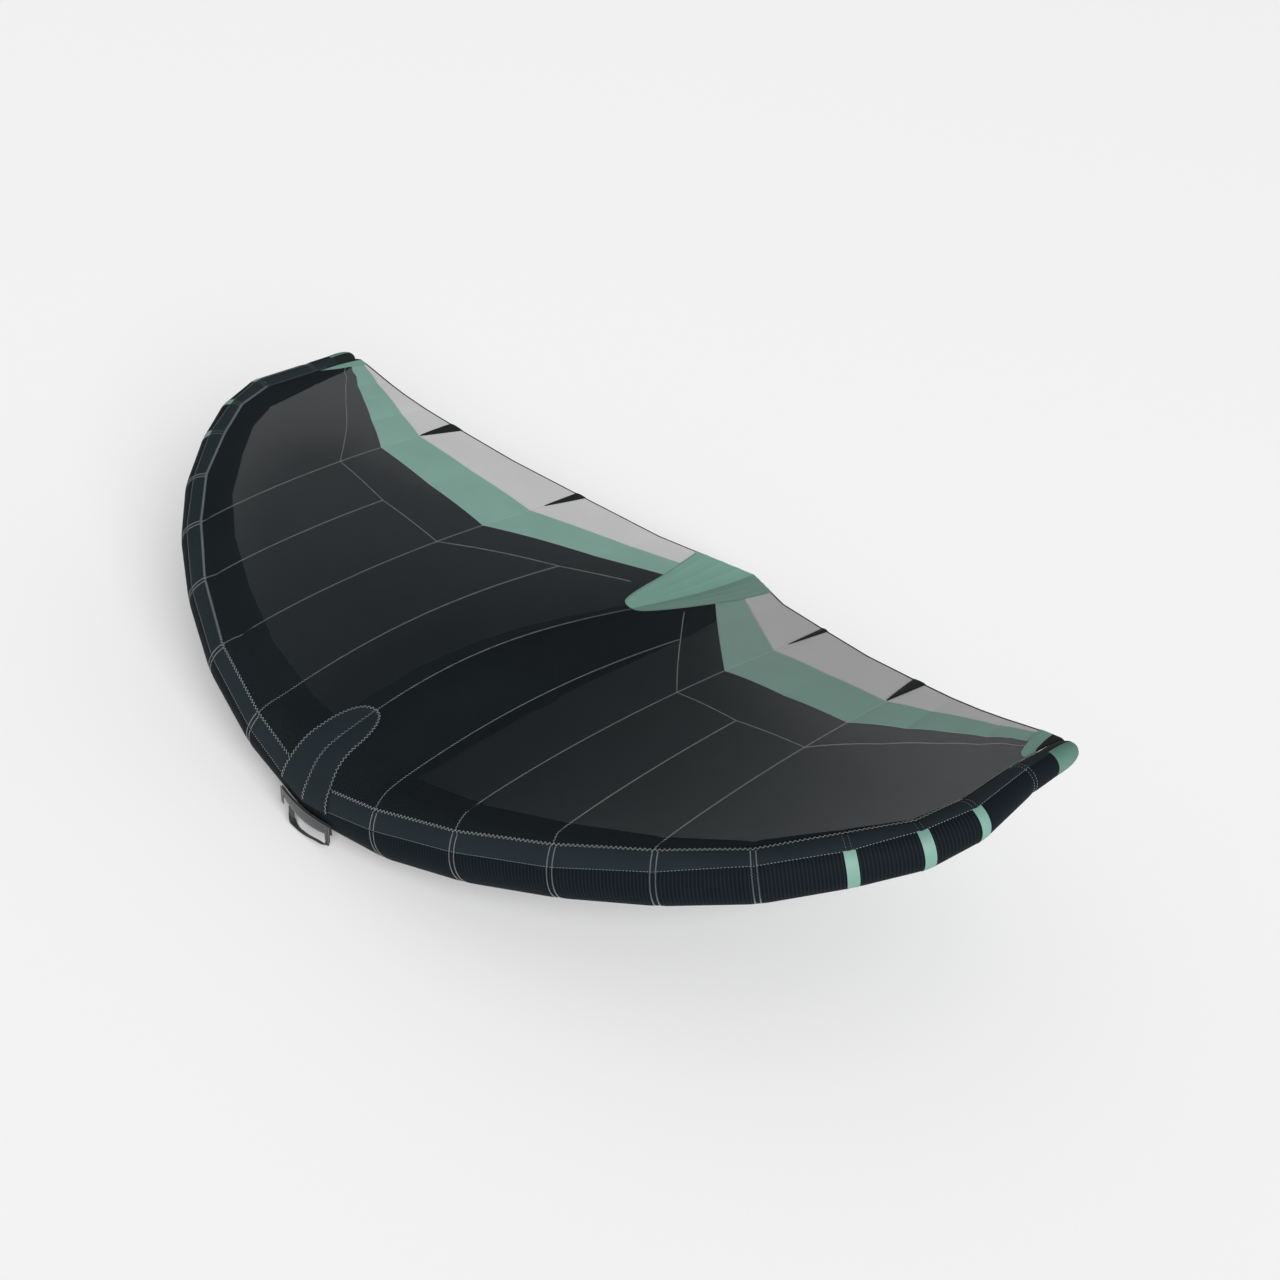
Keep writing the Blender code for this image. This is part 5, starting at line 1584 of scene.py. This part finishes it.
# The rows beside each seam round the tube, the rows along the canopy's front edge, and how far
# from the patches' edges their seams lie
RING_ROW = 0.007
HEM_SHARE = -0.97
OUTER_HEM_SHARE = -0.96
HEM_START = 0.36
OUTER_HEM = (8.05, 9.5)
NOSE_EDGE = 0.014
TAIL_EDGE = 0.012
PANEL_ROW = 0.006
# Seams of the canopy that run across: their table, first station and shift back
CROSS_SEAMS = ((INNER_SHARES, 0.40, 0), (DARK_SHARES, 0.44, 0.0025), (LIGHT_SHARES, 0.56, 0.0025))
CROSS_END = 9.9
# Seams along the centre line: over the nose patch to its round end, from there to the tail
# patch, and over the tail patch
NOSE_MIDDLE = (-1.40, 0.068)
NOSE_ROUND_END = 0.0715
CANOPY_MIDDLE = (0.072, 0.625)
TAIL_MIDDLE = (0.66, 0.985)


def both_sides(places):
    """The places on the right and on the left."""
    return (places, [(-station, value) for station, value in places])


def leading_edge_stitching():
    """The long front seam, the seams round the tube and the canopy's front seam."""
    shape = Shape()
    long_seams = ([(s, table_value(FRONT_SEAM_ANGLES, s)) for s in tube_stations(0, 9)],
                  [(s, BACK_SEAM_ANGLE - 4) for s in tube_stations(0, TIP_STATION)])
    for places in long_seams:
        for line in both_sides(places):
            sew(shape, casing_line(line), 0, DASH_PITCH)
    for index in range(1, TIP_STATION):
        front = FRONT_SEAM_ANGLES[index]
        inner = index < BAND_STATIONS[0]
        for offset in (-RING_ROW, RING_ROW):
            place = band_place(index, offset)
            for line in both_sides([(place, a) for a in steps(front, SEAM_ANGLES[index] - 2, 8)]):
                if inner:
                    sew(shape, casing_line(line), RING_REACH, RING_PITCH)
                else:
                    sew(shape, casing_line(line), 0, DASH_PITCH, FINE_WIDTH)
            if index in BAND_STATIONS:
                continue
            # Down the front and on round the back to just behind where the canopy leaves
            fall = steps(front - 1, LEAVE_ANGLES[index] - 352, 44)
            for line in both_sides([(place, a) for a in fall]):
                sew(shape, casing_line(line), RING_REACH if inner else 0, RING_PITCH, FINE_WIDTH)
    hem = [HEM_START] + [s for s in tube_stations(0, 8) if s > HEM_START]
    for line in both_sides([(s, HEM_SHARE) for s in hem]):
        sew(shape, canopy_line(line), ZIGZAG_REACH, ZIGZAG_PITCH)
    for line in both_sides([(s, OUTER_HEM_SHARE) for s in steps(*OUTER_HEM, 12)]):
        sew(shape, canopy_line(line), 0, DASH_PITCH, FINE_WIDTH)
    shape.build("stitching_leading_edge", (THREAD,), "wing")


def canopy_stitching():
    """The seams of the canopy and of its nose patch."""
    shape = Shape()
    centre = steps(NOSE_MIDDLE[0], 0, 56) + steps(0, NOSE_MIDDLE[1], 12)[1:]
    sew(shape, patch_line([(0, share) for share in centre]), ZIGZAG_REACH, ZIGZAG_PITCH)
    middle = [(0, share) for share in steps(*CANOPY_MIDDLE, 24)]
    sew(shape, canopy_line(middle), FINE_REACH, FINE_PITCH, FINE_WIDTH)
    ends = {1: INNER_SHARES[1], 3: INNER_SHARES[3], **{pocket[0]: pocket[1] for pocket in POCKETS}}
    for station, end in sorted(ends.items()):
        shares = steps(HEM_SHARE, 0, 6)[:-1] + steps(0, end, 28)
        for line in both_sides([(station, share) for share in shares]):
            sew(shape, canopy_line(line), FINE_REACH, FINE_PITCH, FINE_WIDTH)
    for table, first, shift in CROSS_SEAMS:
        places = [(s, table_value(table, s) + shift)
                  for s in steps(0, TIP_STATION, 90) if first < s < CROSS_END]
        for line in both_sides(places):
            sew(shape, canopy_line(line), FINE_REACH * 0.7, FINE_PITCH, FINE_WIDTH)
    spots = steps(-1.45, 0, 58)[:-1] + [s for s in NOSE_PATCH_SHARES if s >= 0]
    for side in (-1, 1):
        edge = [(side * max(eased_value(NOSE_PATCH_WIDTHS, share) - NOSE_EDGE, 0), share - 0.002)
                for share in spots]
        sew(shape, patch_line(edge + [(0, NOSE_ROUND_END)]), ZIGZAG_REACH, ZIGZAG_PITCH)
    shape.build("stitching_canopy", (THREAD,), "wing")


def tail_stitching():
    """The dark seams along the tail patch's edges and down its middle."""
    shape = Shape()
    lift = PATCH_LIFT + PATCH_THICKNESS
    for side in (-1, 1):
        edge = [(side * (eased_value(TAIL_PATCH_WIDTHS, share) - TAIL_EDGE), share)
                for share in steps(0.636, 0.99, 30)]
        sew(shape, canopy_line(edge, lift), FINE_REACH * 0.6, FINE_PITCH, TONE_WIDTH)
    middle = [(0, share) for share in steps(*TAIL_MIDDLE, 20)]
    sew(shape, canopy_line(middle, lift), 0, DASH_PITCH)
    shape.build("stitching_tail", (DARK_THREAD,), "wing")


def patch_out(station, share):
    """Direction that the nose's patch looks in."""
    if share >= -0.9:
        return canopy_out(station, share)
    angle = share_value(NOSE_FRONT_ANGLES, max(share, -1.45)) if share < -1 else -57
    return radial(station, angle)


def strut_stitching():
    """Seams round and along the strut and round the handles' patches."""
    shape = Shape()
    for share in STRUT_PANEL_SHARES:
        for shift in (-PANEL_ROW, PANEL_ROW):
            line = strut_seam([share * CENTRE_LENGTH + shift], steps(24, 336, 60))
            sew(shape, line, STRUT_REACH, STRUT_PITCH)
    for angle in (96, 264):
        backs = steps(strut_mouth(angle, 0) + 0.01, 0.955 * CENTRE_LENGTH, 60)
        sew(shape, strut_seam(backs, [angle]), 0, DASH_PITCH)
    for front, rear in HANDLE_LINES:
        start = front.y - HANDLE_PATCH_REACH + 0.008
        end = rear.y + HANDLE_PATCH_REACH - 0.008
        seams = [(steps(start, end, 20), [STRUT_BELLY + turn]) for turn in (-18, 18)]
        seams += [([back], steps(STRUT_BELLY - 17, STRUT_BELLY + 17, 8)) for back in (start, end)]
        for backs, angles in seams:
            sew(shape, strut_seam(backs, angles, PATCH_TOP), STRUT_REACH, STRUT_PITCH)
    shape.build("stitching_strut", (THREAD,), "wing")


# Floor, light and camera

def surroundings():
    """A plain pale floor, soft light from all round and a broad light from the right."""
    mesh = bpy.data.meshes.new("floor")
    corners = ((-1, -1), (1, -1), (1, 1), (-1, 1))
    mesh.from_pydata([(x * FLOOR_HALF, y * FLOOR_HALF, FLOOR_HEIGHT) for x, y in corners], [],
                     [(0, 1, 2, 3)])
    made, _, shader = new_material("floor_paint")
    shader.inputs["Base Color"].default_value = (*linear("#fdfdfd"), 1)
    shader.inputs["Roughness"].default_value = 0.9
    mesh.materials.append(made)
    new_object("floor", mesh)
    world = bpy.data.worlds.new("studio")
    world.use_nodes = True
    back = world.node_tree.nodes["Background"]
    back.inputs["Color"].default_value = (1, 1, 1, 1)
    back.inputs["Strength"].default_value = AROUND_STRENGTH
    bpy.context.scene.world = world
    data = bpy.data.lights.new("key", "SUN")
    data.energy = KEY_STRENGTH
    data.angle = math.radians(KEY_SPREAD)
    key = new_object("key", data)
    key.rotation_euler = KEY_DIRECTION.to_track_quat("Z", "Y").to_euler()
    bpy.context.scene.view_settings.view_transform = "Standard"


def camera():
    """The camera, square on the photograph's frame."""
    data = bpy.data.cameras.new("camera")
    data.lens = CAMERA_LENS
    data.sensor_width = CAMERA_SENSOR
    made = new_object("camera", data)
    right = CAMERA_RIGHT.normalized()
    up = -(CAMERA_DOWN - CAMERA_DOWN.dot(right) * right).normalized()
    turn = Matrix((right, up, right.cross(up))).transposed()
    made.matrix_world = Matrix.Translation(CAMERA_PLACE + SHIFT) @ turn.to_4x4()
    bpy.context.scene.camera = made


leading_edge()
bladders()
canopy()
nose_patch()
tail_patch()
tip_patches()
batten_pockets()
strut()
strut_handles()
front_handle()
leash_loop()
valve()
leading_edge_stitching()
canopy_stitching()
tail_stitching()
strut_stitching()
surroundings()
camera()
